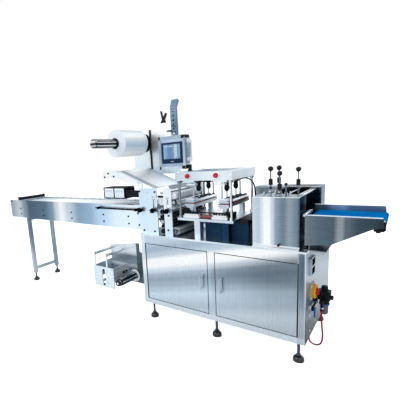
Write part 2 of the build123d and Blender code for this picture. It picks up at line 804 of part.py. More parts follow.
reel_clamps.part.label = "reel_clamps"
export_step(reel_clamps.part, "parts/reel_clamps.step")

# Temperature control box beside the first plate, on an angle from that plate
box_left = cab_left - 412
box_right = cab_left - 165
box_low = conveyor_top + 48
box_high = box_low + 98
box_back = plate_front + 130
with BuildPart() as control_box:
    block(box_left, box_right, plate_front, box_back, box_low, box_high)
    chamfer(control_box.edges().filter_by(Axis.Y), 4)
    screen_width = (box_right - box_left - 3 * 9) / 2
    for x in (box_left + 9, box_left + 18 + screen_width):
        with BuildSketch(Plane.XZ.offset(-plate_front)):
            with Locations((x + screen_width / 2, (box_low + box_high) / 2)):
                RectangleRounded(screen_width, box_high - box_low - 16, 4)
        extrude(amount=-3, mode=Mode.SUBTRACT)
    block(box_right, plate_a_x + 2 * arm_thick, inner_front, inner_front + arm_thick, box_low + 15, box_high - 25)
control_box.part.label = "control_box"
export_step(control_box.part, "parts/control_box.step")

# Sealing unit: base plate on four columns
seal_x1 = cab_left + frame_left
seal_x2 = seal_x1 + frame_width
seal_y1 = cab_front + frame_front
seal_y2 = seal_y1 + frame_depth
rail_low = frame_top - rail_height
column_x = (seal_x1 + 159, seal_x2 - 63)
column_y = (seal_y1 + 10 + column_width / 2, seal_y2 - 10 - column_width / 2)
with BuildPart() as sealing_base:
    with BuildSketch(Plane.XY.offset(base_top - base_thick)):
        with Locations(((seal_x1 + seal_x2) / 2, (seal_y1 + seal_y2) / 2)):
            RectangleRounded(frame_width, frame_depth, 6)
    extrude(amount=base_thick)
    for x in column_x:
        for y in column_y:
            rounded_tube(x, y, column_width, column_width, deck, base_top - base_thick, leg_corner)
sealing_base.part.label = "sealing_base"
export_step(sealing_base.part, "parts/sealing_base.step")

# Chrome posts with collars between the base plate and the top frame
post_x = (seal_x1 + rail_width / 2, seal_x2 - rail_width / 2)
post_y = (seal_y1 + rail_width / 2, seal_y2 - rail_width / 2)
with BuildPart() as sealing_posts:
    for x in post_x:
        for y in post_y:
            turned_z(x, y, ((collar_radius, base_top), (collar_radius, base_top + collar_height),
                            (guide_post_radius, base_top + collar_height),
                            (guide_post_radius, rail_low - collar_height),
                            (collar_radius, rail_low - collar_height), (collar_radius, rail_low)))
sealing_posts.part.label = "sealing_posts"
export_step(sealing_posts.part, "parts/sealing_posts.step")

# Top frame of four rails with a cross plate under it for each pair of cylinders
platens = ((seal_x1 + platen_left_inset + platen_left_width / 2, platen_left_width),
           (seal_x1 + platen_right_inset + platen_right_width / 2, platen_right_width))
rod_lines = (platens[0][0] + rod_shift, platens[1][0] - rod_shift)
cylinder_y = (seal_y1 + cylinder_inset, seal_y2 - cylinder_inset)
guide_y = (seal_y1 + guide_inset, seal_y2 - guide_inset)
rest_low = seal_height + seal_gap
rest_top = rest_low + platen_height
cylinder_low = rest_top + seal_stroke + stroke_clear
with BuildPart() as sealing_top_frame:
    with BuildSketch(Plane.XY.offset(rail_low)):
        with Locations(((seal_x1 + seal_x2) / 2, (seal_y1 + seal_y2) / 2)):
            RectangleRounded(frame_width, frame_depth, 4)
            Rectangle(frame_width - 2 * rail_width, frame_depth - 2 * rail_width, mode=Mode.SUBTRACT)
    extrude(amount=rail_height)
    for (x, width), rod_x in zip(platens, rod_lines):
        block(min(x, rod_x) - width / 2, max(x, rod_x) + width / 2, seal_y1, seal_y2, rail_low - frame_plate, rail_low)
        for y in cylinder_y:
            bar_z(rod_x, y, cylinder_radius, rail_low - frame_plate, rail_low, mode=Mode.SUBTRACT)
        for y in guide_y:
            bar_z(rod_x, y, guide_rod_radius + guide_clear, rail_low - frame_plate, rail_low, mode=Mode.SUBTRACT)
sealing_top_frame.part.label = "sealing_top_frame"
export_step(sealing_top_frame.part, "parts/sealing_top_frame.step")

# Air cylinders set in the cross plates, each with its cap, nose and bore, and a hose fitting
cylinder_high = cylinder_low + cylinder_length
hose_y = seal_y1 + 247
hose_plate = platens[1][0] + platens[1][1] / 2
hose_z = rail_low - frame_plate / 2
with BuildPart() as seal_cylinders:
    for x in rod_lines:
        for y in cylinder_y:
            turned_z(x, y, ((cylinder_radius - 5, cylinder_low), (cylinder_radius - 5, cylinder_low + 8),
                            (cylinder_radius, cylinder_low + 8), (cylinder_radius, cylinder_high - 10),
                            (cylinder_radius - 3, cylinder_high - 10), (cylinder_radius - 3, cylinder_high)))
            bar_z(x, y, cylinder_rod_radius + pin_clear, cylinder_low, cylinder_high - cylinder_wall,
                  mode=Mode.SUBTRACT)
    turned_x(hose_y, hose_z, ((6.8, hose_plate), (6.8, hose_plate + 5), (6, hose_plate + 5), (6, hose_plate + 12)))
seal_cylinders.part.label = "seal_cylinders"
export_step(seal_cylinders.part, "parts/seal_cylinders.step")

# Lower platens on pedestals, each under a red silicone strip
platen_y1 = seal_y1 + platen_end_gap
platen_y2 = seal_y2 - platen_end_gap
strip_low = seal_height - strip_thick
with BuildPart() as lower_platens:
    for x, width in platens:
        low = seal_height - lower_platen_height
        with BuildSketch(Plane.XZ.offset(-platen_y1)):
            with BuildLine():
                Polyline((x - width / 2, strip_low), (x + width / 2, strip_low), (x + width / 2, low + 14),
                         (x + width / 4, low), (x - width / 4, low), (x - width / 2, low + 14), close=True)
            make_face()
        extrude(amount=-(platen_y2 - platen_y1))
        for y in (platen_y1 + 1.2 * pedestal_width, platen_y2 - 1.2 * pedestal_width):
            rounded_tube(x, y, pedestal_width, pedestal_width, base_top, low, leg_corner)
lower_platens.part.label = "lower_platens"
export_step(lower_platens.part, "parts/lower_platens.step")

with BuildPart() as seal_strips:
    for x, width in platens:
        block(x - width / 2 + strip_thick, x + width / 2 - strip_thick, platen_y1, platen_y2, strip_low, seal_height)
seal_strips.part.label = "seal_strips"
export_step(seal_strips.part, "parts/seal_strips.step")

# Upper platens, each with two cylinder rods and two guide rods
for platen_name, (x, width), rod_x in zip(("left_upper_platen", "right_upper_platen"), platens, rod_lines):
    with BuildPart() as upper_platen:
        with BuildSketch(Plane.XZ.offset(-platen_y1)):
            with BuildLine():
                Polyline((x - width / 2, rest_low), (x - width / 2, rest_top - 12), (x - width / 3, rest_top),
                         (x + width / 3, rest_top), (x + width / 2, rest_top - 12), (x + width / 2, rest_low),
                         close=True)
            make_face()
        extrude(amount=-(platen_y2 - platen_y1))
        for y in cylinder_y:
            bar_z(rod_x, y, cylinder_rod_radius, rest_top, cylinder_low + 12)
        for y in guide_y:
            bar_z(rod_x, y, guide_rod_radius, rest_top, rest_top + guide_rod_length - 4)
    upper_platen.part.label = platen_name
    export_step(upper_platen.part, f"parts/{platen_name}.step")

# Emergency stop buttons on the front rail
with BuildPart() as emergency_stops:
    for x in (seal_x1 + stop_inset, seal_x2 - stop_inset - 10):
        turned_y(x, frame_top - stop_drop,
                 ((stop_radius - 7, seal_y1 - 20), (stop_radius - 2, seal_y1 - 19), (stop_radius, seal_y1 - 15),
                  (stop_radius, seal_y1 - 12), (stop_radius - 6, seal_y1 - 9), (stop_radius - 6, seal_y1 - 4),
                  (stop_radius + 2, seal_y1 - 4), (stop_radius + 2, seal_y1)))
emergency_stops.part.label = "emergency_stops"
export_step(emergency_stops.part, "parts/emergency_stops.step")

# Hose from the right cross plate, in an arc down to the drive cover
cover_top = base_top - base_thick - 3
hose_x = hose_plate + 93.2
air_route = ((hose_plate + 12, hose_y, hose_z), (hose_plate + 42, hose_y, hose_z),
             (hose_plate + 73.2, hose_y, hose_z - 18), (hose_x, hose_y, hose_z - 52.6),
             (hose_x + 5.2, hose_y, hose_z - 127), (hose_x, hose_y, hose_z - 202), (hose_x, hose_y, cover_top + 12))

# Dark blue cover of the drive under the sealing base, with the hose fitting on its top
drive_x1 = column_x[0] + column_width / 2
drive_x2 = seal_x2 + 72
drive_y1 = column_y[0] + column_width / 2 + 24
drive_y2 = column_y[1] - column_width / 2 - 24
with BuildPart() as drive_cover:
    with BuildSketch(Plane.XY.offset(deck)):
        with Locations(((drive_x1 + drive_x2) / 2, (drive_y1 + drive_y2) / 2)):
            RectangleRounded(drive_x2 - drive_x1, drive_y2 - drive_y1, 8)
    extrude(amount=cover_top - deck)
    chamfer(drive_cover.faces().sort_by(Axis.Z)[-1].edges(), 3)
    turned_z(hose_x, hose_y, ((8, cover_top), (8, cover_top + 7), (6, cover_top + 7), (6, cover_top + 12)))
drive_cover.part.label = "drive_cover"
export_step(drive_cover.part, "parts/drive_cover.step")

with BuildPart() as seal_hose:
    hose(air_route, hose_radius)
seal_hose.part.label = "seal_hose"
export_step(seal_hose.part, "parts/seal_hose.step")

# Operator panel: a framed box with a recessed front and a side grip, turning on a base
hmi_x = cab_left + hmi_left
hmi_right = hmi_x + hmi_width
hmi_y = cab_front + hmi_front
hmi_back = hmi_y + hmi_depth
hmi_high = hmi_low + hmi_height
swivel_x = seal_x1 + rail_width / 2
swivel_y = (hmi_y + hmi_back) / 2
arm_height = 30
arm_half = 14
with BuildPart() as hmi_base:
    turned_z(swivel_x, swivel_y, ((2 * swivel_radius, frame_top), (2 * swivel_radius, frame_top + 8),
                                  (swivel_radius + 4, frame_top + 12), (swivel_radius + 4, hmi_low),
                                  (swivel_radius, hmi_low), (swivel_radius, hmi_low + 20)))
hmi_base.part.label = "hmi_base"
export_step(hmi_base.part, "parts/hmi_base.step")

with BuildPart() as hmi_panel:
    with BuildSketch(Plane.XZ.offset(-hmi_y)):
        with Locations(((hmi_x + hmi_right) / 2, (hmi_low + hmi_high) / 2)):
            RectangleRounded(hmi_width, hmi_height, hmi_corner)
    extrude(amount=-hmi_depth)
    with BuildSketch(Plane.XZ.offset(-hmi_y)):
        with Locations(((hmi_x + hmi_right) / 2, (hmi_low + hmi_high) / 2)):
            RectangleRounded(hmi_width - 2 * hmi_border, hmi_height - 2 * hmi_border, 4)
    extrude(amount=-hmi_recess, mode=Mode.SUBTRACT)
    grip_x = hmi_right + hmi_handle_proud
    for z in (hmi_low + 70, hmi_high - 50):
        bar_x(swivel_y, z, hmi_handle_radius, hmi_right - 2, grip_x)
    bar_z(grip_x, swivel_y, hmi_handle_radius, hmi_low + 70, hmi_high - 50)
    for z in (hmi_low + 70, hmi_high - 50):
        with Locations((grip_x, swivel_y, z)):
            Sphere(hmi_handle_radius)
hmi_panel.part.label = "hmi_panel"
export_step(hmi_panel.part, "parts/hmi_panel.step")

with BuildPart() as hmi_arm:
    with BuildSketch(Plane.XY.offset(hmi_low + pin_clear)):
        with BuildLine():
            near = Polyline((swivel_x, swivel_y - arm_half), (hmi_right, swivel_y - arm_half),
                            (hmi_right, swivel_y + arm_half), (swivel_x, swivel_y + arm_half))
            ThreePointArc(near @ 1, (swivel_x + arm_half, swivel_y), near @ 0)
        make_face()
    extrude(amount=arm_height)
    bar_z(swivel_x, swivel_y, swivel_radius + running_clear, hmi_low + pin_clear, hmi_low + 20 + pin_clear,
          mode=Mode.SUBTRACT)
hmi_arm.part.label = "hmi_arm"
export_step(hmi_arm.part, "parts/hmi_arm.step")

# Cutter housings: the front one with a screw flange round its foot
housing_x1 = cab_left + housing_left
housing_x2 = housing_x1 + housing_width
housing_y1 = cab_front + housing_inset
housing_y2 = housing_y1 + housing_depth
housing_top = deck + housing_height
with BuildPart() as front_housing:
    with BuildSketch(Plane.XY.offset(deck)):
        with Locations(((housing_x1 + housing_x2) / 2, (housing_y1 + housing_y2) / 2)):
            RectangleRounded(housing_width, housing_depth, 5)
    extrude(amount=housing_height)
    with BuildSketch(Plane.XY.offset(deck)):
        with Locations(((housing_x1 + housing_x2) / 2, housing_y1)):
            RectangleRounded(housing_width, 2 * flange_proud, 5)
    extrude(amount=flange_height)
    fillet(front_housing.faces().sort_by(Axis.Z)[-1].edges(), housing_sheet)
front_housing.part.label = "front_housing"
export_step(front_housing.part, "parts/front_housing.step")

rear_x1 = cab_left + back_housing_left
rear_x2 = cab_left + back_housing_right
rear_y1 = cab_front + back_housing_inset
with BuildPart() as back_housing:
    with BuildSketch(Plane.XY.offset(deck)):
        with Locations(((rear_x1 + rear_x2) / 2, (rear_y1 + cab_back) / 2)):
            RectangleRounded(rear_x2 - rear_x1, cab_back - rear_y1, 5)
    extrude(amount=back_housing_height)
    fillet(back_housing.faces().sort_by(Axis.Z)[-1].edges(), housing_sheet)
back_housing.part.label = "back_housing"
export_step(back_housing.part, "parts/back_housing.step")

# Cutter between the housings: bed, black rolls over it, chrome rods along the top
bed_high = deck + cutter_bed_height
roll_x = (housing_x1 + 32, housing_x1 + 140, housing_x1 + 245)
with BuildPart() as cutter_bed:
    block(housing_x1 + 8, housing_x2 - 8, housing_y2, rear_y1, deck, bed_high)
    chamfer(cutter_bed.edges().filter_by(Axis.Y).group_by(Axis.Z)[-1], 14)
cutter_bed.part.label = "cutter_bed"
export_step(cutter_bed.part, "parts/cutter_bed.step")

with BuildPart() as cutter_rolls:
    for x in roll_x:
        z = bed_high + cutter_roller_radius + 34
        turned_y(x, z, ((roller_shaft_radius, housing_y2), (roller_shaft_radius, housing_y2 + 12),
                        (cutter_roller_radius, housing_y2 + 14), (cutter_roller_radius, rear_y1 - 14),
                        (roller_shaft_radius, rear_y1 - 12), (roller_shaft_radius, rear_y1)))
cutter_rolls.part.label = "cutter_rolls"
export_step(cutter_rolls.part, "parts/cutter_rolls.step")

with BuildPart() as cutter_rods:
    for x in (roll_x[1] + 2, roll_x[2] - 26):
        bar_y(x, housing_top - 14, 5, housing_y2, rear_y1)
cutter_rods.part.label = "cutter_rods"
export_step(cutter_rods.part, "parts/cutter_rods.step")

# Pressure levers: chrome rods with nuts, and black balls and sleeves on them
lever_places = ((housing_x1 + 73, housing_y2 - 16, housing_top, 160), (housing_x1 + 135, housing_y2 - 44, housing_top, 132),
                (housing_x1 + 80, housing_y2 + 136, bed_high, 266), (housing_x1 + 198, housing_y2 + 136, bed_high, 252))
with BuildPart() as pressure_levers:
    for x, y, low, rise in lever_places:
        turned_z(x, y, ((14, low), (14, low + 14), (9, low + 14), (9, low + 30), (lever_radius, low + 30),
                        (lever_radius, low + rise - ball_radius)))
    knob_x = housing_x1 + 176
    bar_z(knob_x, housing_y2 - 60, lever_radius, housing_top, housing_top + 60)
pressure_levers.part.label = "pressure_levers"
export_step(pressure_levers.part, "parts/pressure_levers.step")

with BuildPart() as lever_balls:
    for x, y, low, rise in lever_places:
        with Locations((x, y, low + rise)):
            Sphere(ball_radius)
        bar_z(x, y, lever_radius, low + rise - ball_radius, low + rise)
        sleeve_low = low + rise - 100
        turned_z(x, y, ((ball_radius - 4, sleeve_low), (ball_radius - 3, sleeve_low + 4),
                        (ball_radius - 3, sleeve_low + 34), (ball_radius - 5, sleeve_low + 38)))
        bar_z(x, y, lever_radius, sleeve_low, sleeve_low + 38, mode=Mode.SUBTRACT)
    turned_z(knob_x, housing_y2 - 60, ((7, housing_top + 60), (10, housing_top + 66), (10, housing_top + 72),
                                       (4, housing_top + 76)))
lever_balls.part.label = "lever_balls"
export_step(lever_balls.part, "parts/lever_balls.step")

# Discharge conveyor: tapered side plates, the back one rising as a guide, on a bracket
out_x1 = cab_left + out_reach
out_x2 = out_x1 + out_length
out_y1 = cab_front + out_inset
out_y2 = out_y1 + out_width
with BuildPart() as discharge_plates:
    for y, rise in ((out_y1, 0), (out_y2 - plate_thick, guide_rise)):
        upright_sheet(y, plate_thick,
                      ((out_x1, out_top + rise), (out_x2 - 6, out_top + rise), (out_x2, out_top - out_nose),
                       (out_x2 - out_nose_length, out_top - out_nose - 10),
                       (out_x1 + out_foot_length, out_top - out_height + 16), (out_x1, out_top - out_height)), 3)
    bracket = out_y1 + plate_thick
    block(cab_right - 24, out_x1 + 110, bracket, out_y2 - plate_thick, deck, deck + 6)
    block(cab_right, cab_right + 6, bracket, out_y2 - plate_thick, deck + 6, out_top - out_height + 60)
discharge_plates.part.label = "discharge_plates"
export_step(discharge_plates.part, "parts/discharge_plates.step")

out_belt_top = out_top - out_belt_drop
drive_at = (out_x1 + 40, out_belt_top - belt_thick - out_drive_radius)
nose_at = (out_x2 - out_roller_radius + 6, out_belt_top - belt_thick - out_roller_radius)
out_belt_y1 = out_y1 + plate_thick + 4
out_belt_y2 = out_y2 - plate_thick - 4


def belt_outline(over):
    """the line round both rollers, so far outside their faces"""
    with BuildSketch(Plane.XZ.offset(-out_belt_y1)) as outline:
        with Locations(drive_at):
            Circle(out_drive_radius + over)
        with Locations(nose_at):
            Circle(out_roller_radius + over)
        make_hull()
    return outline.sketch


with BuildPart() as discharge_belt:
    extrude(belt_outline(belt_thick), amount=-(out_belt_y2 - out_belt_y1))
    extrude(belt_outline(0), amount=-(out_belt_y2 - out_belt_y1), mode=Mode.SUBTRACT)
discharge_belt.part.label = "discharge_belt"
export_step(discharge_belt.part, "parts/discharge_belt.step")

# Rollers of both conveyors, each a drum on a shaft
with BuildPart() as belt_rollers:
    for x in (belt_x1, belt_x2):
        turned_y(x, belt_axis, ((roller_shaft_radius, inner_front), (roller_shaft_radius, belt_y1),
                                (belt_roller_radius - 0.2, belt_y1), (belt_roller_radius - 0.2, belt_y2),
                                (roller_shaft_radius, belt_y2), (roller_shaft_radius, inner_back)))
    for (x, z), radius in ((drive_at, out_drive_radius), (nose_at, out_roller_radius)):
        turned_y(x, z, ((roller_shaft_radius - 2, out_y1 + plate_thick), (roller_shaft_radius - 2, out_belt_y1),
                        (radius - 0.2, out_belt_y1), (radius - 0.2, out_belt_y2),
                        (roller_shaft_radius - 2, out_belt_y2), (roller_shaft_radius - 2, out_y2 - plate_thick)))
belt_rollers.part.label = "belt_rollers"
export_step(belt_rollers.part, "parts/belt_rollers.step")

# Fittings on the cabinet's right side: double socket, switch plate and red switch
with BuildPart() as outlet_socket:
    socket_y = cab_front + socket_front + socket_width / 2
    socket_z = socket_low + socket_height / 2
    with BuildSketch(Plane.YZ.offset(cab_right)):
        with Locations((socket_y, socket_z)):
            RectangleRounded(socket_width, socket_height, 6)
    extrude(amount=14)
    chamfer(outlet_socket.faces().sort_by(Axis.X)[-1].edges(), 2)
    with BuildSketch(Plane.YZ.offset(cab_right + 14)):
        with Locations((socket_y, socket_z - socket_height / 4), (socket_y, socket_z + socket_height / 4)):
            RectangleRounded(socket_width - 30, socket_height / 2 - 16, 5)
    extrude(amount=-8, mode=Mode.SUBTRACT)
outlet_socket.part.label = "outlet_socket"
export_step(outlet_socket.part, "parts/outlet_socket.step")

switch_y = cab_front + switch_place
switch_shaft = 8
with BuildPart() as switch_plate:
    with BuildSketch(Plane.YZ.offset(cab_right)):
        with Locations((switch_y, switch_height)):
            RectangleRounded(switch_size, switch_size, 8)
            Circle(switch_shaft + running_clear, mode=Mode.SUBTRACT)
    extrude(amount=6)
switch_plate.part.label = "switch_plate"
export_step(switch_plate.part, "parts/switch_plate.step")

with BuildPart() as main_switch:
    turned_x(switch_y, switch_height,
             ((switch_shaft, cab_right + pin_clear), (switch_shaft, cab_right + 11), (28, cab_right + 11),
              (26, cab_right + 24), (24, cab_right + 26)))
    with BuildSketch(Plane.YZ.offset(cab_right + 26)):
        with Locations((switch_y, switch_height)):
            SlotOverall(42, 15, rotation=90)
    extrude(amount=14)
main_switch.part.label = "main_switch"
export_step(main_switch.part, "parts/main_switch.step")

# Air unit: bracket, filter body with knob, gauge and ring, and a clear bowl under it
air_x = cab_right + air_proud
air_y = cab_front + air_front - 70
body_low = air_height - 14
body_high = air_height + 42
valve_y = cab_front + valve_front - 30
valve_stem = 4
valve_face = cab_right + 22
elbow_y = cab_front + valve_front + 10
elbow_x = cab_right + 56
elbow_low = valve_height - 4
gland_low = cab_bottom - 12
gland_x = cab_right - 12.4
with BuildPart() as air_unit:
    block(cab_right, cab_right + 16, air_y - 20, air_y + 20, valve_height, body_high - 8)
    block(cab_right + 16, air_x - 20, air_y - 20, air_y + 20, body_low + 8, body_high - 8)
    with BuildSketch(Plane.XY.offset(body_low)):
        with Locations((air_x, air_y)):
            RectangleRounded(70, 56, 8)
    extrude(amount=body_high - body_low)
    turned_z(air_x, air_y, ((16, body_high), (16, body_high + 6), (18, body_high + 6), (18, body_high + 26),
                            (15, body_high + 30)))
    turned_z(air_x, air_y, ((27, body_low - 30), (27, body_low - 4), (22, body_low)))
    bar_x(air_y, air_height, 14, air_x + 30, air_x + 48)
    bar_y(elbow_x, air_height - 9, 6, elbow_y, air_y - 20)
    turned_z(elbow_x, elbow_y, ((9, elbow_low), (9, elbow_low + 12), (7, elbow_low + 12), (7, air_height)))
    turned_x(valve_y, valve_height + 13, ((14, cab_right), (14, valve_face - 4), (9, valve_face - 4), (9, valve_face),
                                     (valve_stem, valve_face), (valve_stem, valve_face + 12)))
    bar_y(cab_right + 10, valve_height + 13, 6, valve_y + 4, air_y - 16)
    turned_z(gland_x, elbow_y, ((7, gland_low), (9, gland_low + 3), (9, gland_low + 6), (10.5, gland_low + 6),
                                (10.5, cab_bottom)))
air_unit.part.label = "air_unit"
export_step(air_unit.part, "parts/air_unit.step")

bowl_high = body_low - 30
with BuildPart() as air_bowl:
    turned_z(air_x, air_y, ((4, bowl_high - bowl_length), (10, bowl_high - bowl_length + 3),
                            (bowl_radius - 6, bowl_high - bowl_length + 8), (bowl_radius, bowl_high - bowl_length + 20),
                            (bowl_radius, bowl_high)))
air_bowl.part.label = "air_bowl"
export_step(air_bowl.part, "parts/air_bowl.step")

# Blue handle of the ball valve, turning on the valve's stem
valve_z = valve_height + 13
with BuildPart() as valve_handle:
    with BuildSketch(Plane.YZ.offset(valve_face + pin_clear)):
        with Locations((valve_y, valve_z)):
            Circle(14)
        with Locations((valve_y, valve_z - 24)):
            SlotOverall(56, 20, rotation=90)
        with Locations((valve_y, valve_z)):
            Circle(valve_stem + running_clear, mode=Mode.SUBTRACT)
    extrude(amount=8)
valve_handle.part.label = "valve_handle"
export_step(valve_handle.part, "parts/valve_handle.step")

# Red hose from the elbow in a loop under the cabinet's edge
hose_route = ((elbow_x, elbow_y, elbow_low), (elbow_x, elbow_y, elbow_low - 56), (elbow_x + 4, elbow_y, elbow_low - 112),
              (elbow_x + 10, elbow_y, elbow_low - 166), (elbow_x + 4, elbow_y, 101), (elbow_x - 17.2, elbow_y, 79.8),
              (gland_x + 21.2, elbow_y, 79.8), (gland_x, elbow_y, 101), (gland_x, elbow_y, gland_low))
with BuildPart() as air_hose:
    hose(hose_route, hose_radius)
air_hose.part.label = "air_hose"
export_step(air_hose.part, "parts/air_hose.step")

# Lower reel: a bracket from the cabinet's side to a front box with two idlers over it
low_x = cab_left + low_reel_place
box_x2 = cab_left + low_box_right
with BuildPart() as lower_reel_bracket:
    upright_sheet(low_back, low_plate,
                  ((box_x1, low_box_low), (box_x1, low_box_high), (low_idlers[0] - 14, low_box_high),
                   (low_idlers[0] - 14, low_idler_height + 20), (low_idlers[1] + 200, low_idler_height + 65),
                   (low_idlers[1] + 200, low_idler_height - 15), (cab_left, low_box_high + 33),
                   (cab_left, low_box_low)))
    bar_y(low_x, low_reel_height, 15 + running_clear, low_back, low_back + low_plate, mode=Mode.SUBTRACT)
    upright_sheet(cab_front, low_plate,
                  ((box_x1, low_box_low), (box_x1, low_box_high), (box_x2, low_box_high), (box_x2, low_box_low)))
    with BuildSketch(Plane.XZ.offset(-cab_front)):
        with Locations((box_x1 + 130, (low_box_low + low_box_high) / 2)):
            SlotOverall(126, 40, rotation=90)
    extrude(amount=-low_plate, mode=Mode.SUBTRACT)
    block(box_x2 - low_plate, box_x2, cab_front + low_plate, low_back, low_box_low + 60, low_box_high)
    block(box_x1, box_x1 + low_plate, cab_front + low_plate, low_back, low_box_low + 60, low_box_high)
    for x in low_idlers:
        block(x - 9, x + 9, cab_front, cab_front + low_plate, low_box_high, low_idler_height + 8)
    block(cab_left - low_plate, cab_left, low_back - 40, low_back, low_box_low, low_box_high)
lower_reel_bracket.part.label = "lower_reel_bracket"
export_step(lower_reel_bracket.part, "parts/lower_reel_bracket.step")

with BuildPart() as lower_reel_shaft:
    low_y = cab_front + low_reel_front
    disc_y = low_y + low_reel_free
    turned_y(low_x, low_reel_height,
             ((low_reel_radius, low_y), (low_reel_radius, disc_y), (low_disc_radius, disc_y), (low_disc_radius, disc_y + 8),
              (20, disc_y + 8), (20, low_back - pin_clear), (15, low_back - pin_clear), (15, low_back + low_plate + 30)))
lower_reel_shaft.part.label = "lower_reel_shaft"
export_step(lower_reel_shaft.part, "parts/lower_reel_shaft.step")
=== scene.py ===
"""Four side seal packing machine: its finishes, fasteners, displays, hoses and a plain studio."""

import math

import bmesh
import bpy
from bpy.props import FloatProperty, FloatVectorProperty, IntProperty, PointerProperty
from mathutils import Matrix, Vector


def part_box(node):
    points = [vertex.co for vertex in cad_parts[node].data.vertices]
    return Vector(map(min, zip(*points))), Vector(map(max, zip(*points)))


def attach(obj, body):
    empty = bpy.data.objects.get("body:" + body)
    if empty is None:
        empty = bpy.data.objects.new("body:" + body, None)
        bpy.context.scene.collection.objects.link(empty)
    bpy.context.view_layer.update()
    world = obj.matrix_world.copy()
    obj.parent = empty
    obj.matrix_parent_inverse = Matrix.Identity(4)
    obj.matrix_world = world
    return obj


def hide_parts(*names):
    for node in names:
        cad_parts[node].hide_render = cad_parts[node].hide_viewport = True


bl_info = {
    "name": "Seal Packing Machine",
    "version": (1, 0, 0),
    "blender": (4, 5, 0),
    "location": "View3D > Sidebar > Packing",
    "description": "Finishes and small pieces of a four side seal packing machine",
    "category": "Object",
}

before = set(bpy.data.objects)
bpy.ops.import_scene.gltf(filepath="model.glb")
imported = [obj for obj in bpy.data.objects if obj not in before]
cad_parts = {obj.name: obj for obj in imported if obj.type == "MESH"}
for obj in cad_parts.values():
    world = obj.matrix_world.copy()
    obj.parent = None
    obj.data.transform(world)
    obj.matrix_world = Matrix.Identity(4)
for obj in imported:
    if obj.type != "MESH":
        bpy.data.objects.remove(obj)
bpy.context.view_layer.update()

MM = 0.001
SMOOTH_BELOW = math.radians(32)  # a sharper edge is shown sharp
FACING = 0.6  # how far a surface turns towards an axis before it counts as facing it

# The photograph's view: its size and centre in pixels, the camera's place in metres and turn in degrees
PHOTO_PIXELS = 400
VIEW_CENTRE = (140.8, 215.7)
VIEW_PLACE = (1.8473, -2.22, 1.305)
VIEW_TURN = (39.7, -9.8, 4.1)

# Places in millimetres that several pieces share
ROD_X = {"left": 667.5, "right": 888.5}
CYLINDERS_Y, GUIDES_Y = (-106, 50), (-185, 129)
ROLLERS_X = (413.5, 523.5)
LEVERS = ((1196.5, -139), (1258.5, -167))
BOWL_X, BOWL_Y = 1493.5, -32
GAUGE = (1541.4, BOWL_Y, 372)
FRONT, BACK, LEFT, RIGHT, UP, DOWN = (0, -1, 0), (0, 1, 0), (-1, 0, 0), (1, 0, 0), (0, 0, 1), (0, 0, -1)
FINISHES = {}

# Routes of the two hoses, in metres
SEAL_ROUTE = ((0.9595, 0.013, 1.129), (0.9895, 0.013, 1.129), (1.0207, 0.013, 1.111),
              (1.0407, 0.013, 1.0764), (1.0459, 0.013, 1.002), (1.0407, 0.013, 0.927),
              (1.0407, 0.013, 0.856))
AIR_ROUTE = ((1.4955, -0.127, 0.318), (1.4955, -0.127, 0.262), (1.4995, -0.127, 0.206),
             (1.5055, -0.127, 0.152), (1.4995, -0.127, 0.101), (1.4783, -0.127, 0.0798),
             (1.4483, -0.127, 0.0798), (1.4271, -0.127, 0.101), (1.4271, -0.127, 0.133))


def tone(red, green, blue):
    """a colour as it is seen on a screen, from 0 to 255, in linear light"""
    linear = []
    for value in (red, green, blue):
        share = value / 255
        linear.append(share / 12.92 if share <= 0.04045 else ((share + 0.055) / 1.055) ** 2.4)
    return (*linear, 1.0)


def metres(name, description, default, low, high):
    return FloatProperty(name=name, description=description, default=default, min=low, max=high,
                         unit="LENGTH")


def swatch(name, description, *default):
    return FloatVectorProperty(name=name, description=description, subtype="COLOR", size=4,
                               default=tone(*default))


class PackingSizes(bpy.types.PropertyGroup):
    """Sizes of the small pieces"""
    screw_radius: metres("Screw head", "Radius of the plates' screw heads", 0.0075, 0.002, 0.02)
    screw_height: metres("Screw height", "How far a screw head stands out", 0.005, 0.001, 0.02)
    hose_diameter: metres("Hose diameter", "Outer diameter of both hoses", 0.010, 0.004, 0.03)
    lens: FloatProperty(name="Lens", description="Focal length of the camera for a 36 mm sensor",
                        default=28.96, min=10, max=200)
    steps: IntProperty(name="Steps", description="Facets round a turned piece", default=28, min=8, max=96)


class PackingColours(bpy.types.PropertyGroup):
    """Colours of the finishes"""
    # steel light and dark, the plate and the blue belt are ends of painted sheen bands
    steel_light: swatch("Steel light", "Brushed steel where it is brightest", 226, 234, 240)
    steel_dark: swatch("Steel dark", "Brushed steel where it is darkest", 150, 167, 181)
    plate_pale: swatch("Plate", "Pale plates of the roller unit", 214, 231, 245)
    film: swatch("Film", "Packing film on its roll", 226, 233, 242)
    belt_blue: swatch("Blue belt", "Belt of the discharge conveyor", 6, 104, 174)
    cover_blue: swatch("Blue cover", "Cover of the drive", 25, 56, 84)
    button_red: swatch("Button red", "Emergency stops and the switch", 186, 12, 42)
    black: swatch("Black", "Black plastic and painted pieces", 11, 18, 24)


# Finishes

def new_finish(name):
    material = bpy.data.materials.new(name)
    material.use_nodes = True
    FINISHES[name] = material
    return material.node_tree, material.node_tree.nodes["Principled BSDF"]


def fill(tree, made, inputs):
    """a node's inputs, given by name or place, each linked to an output or set to a value"""
    for key, value in dict(inputs).items():
        if hasattr(value, "links"):
            tree.links.new(value, made.inputs[key])
        else:
            made.inputs[key].default_value = value


def node(tree, kind, inputs=(), **settings):
    made = tree.nodes.new(kind)
    for key, value in settings.items():
        setattr(made, key, value)
    fill(tree, made, inputs)
    return made


def place(tree, scale, move=(0, 0, 0)):
    """the piece's own coordinates, stretched"""
    where = node(tree, "ShaderNodeTexCoord").outputs["Object"]
    return node(tree, "ShaderNodeMapping", {"Vector": where, "Scale": scale, "Location": move}).outputs[0]


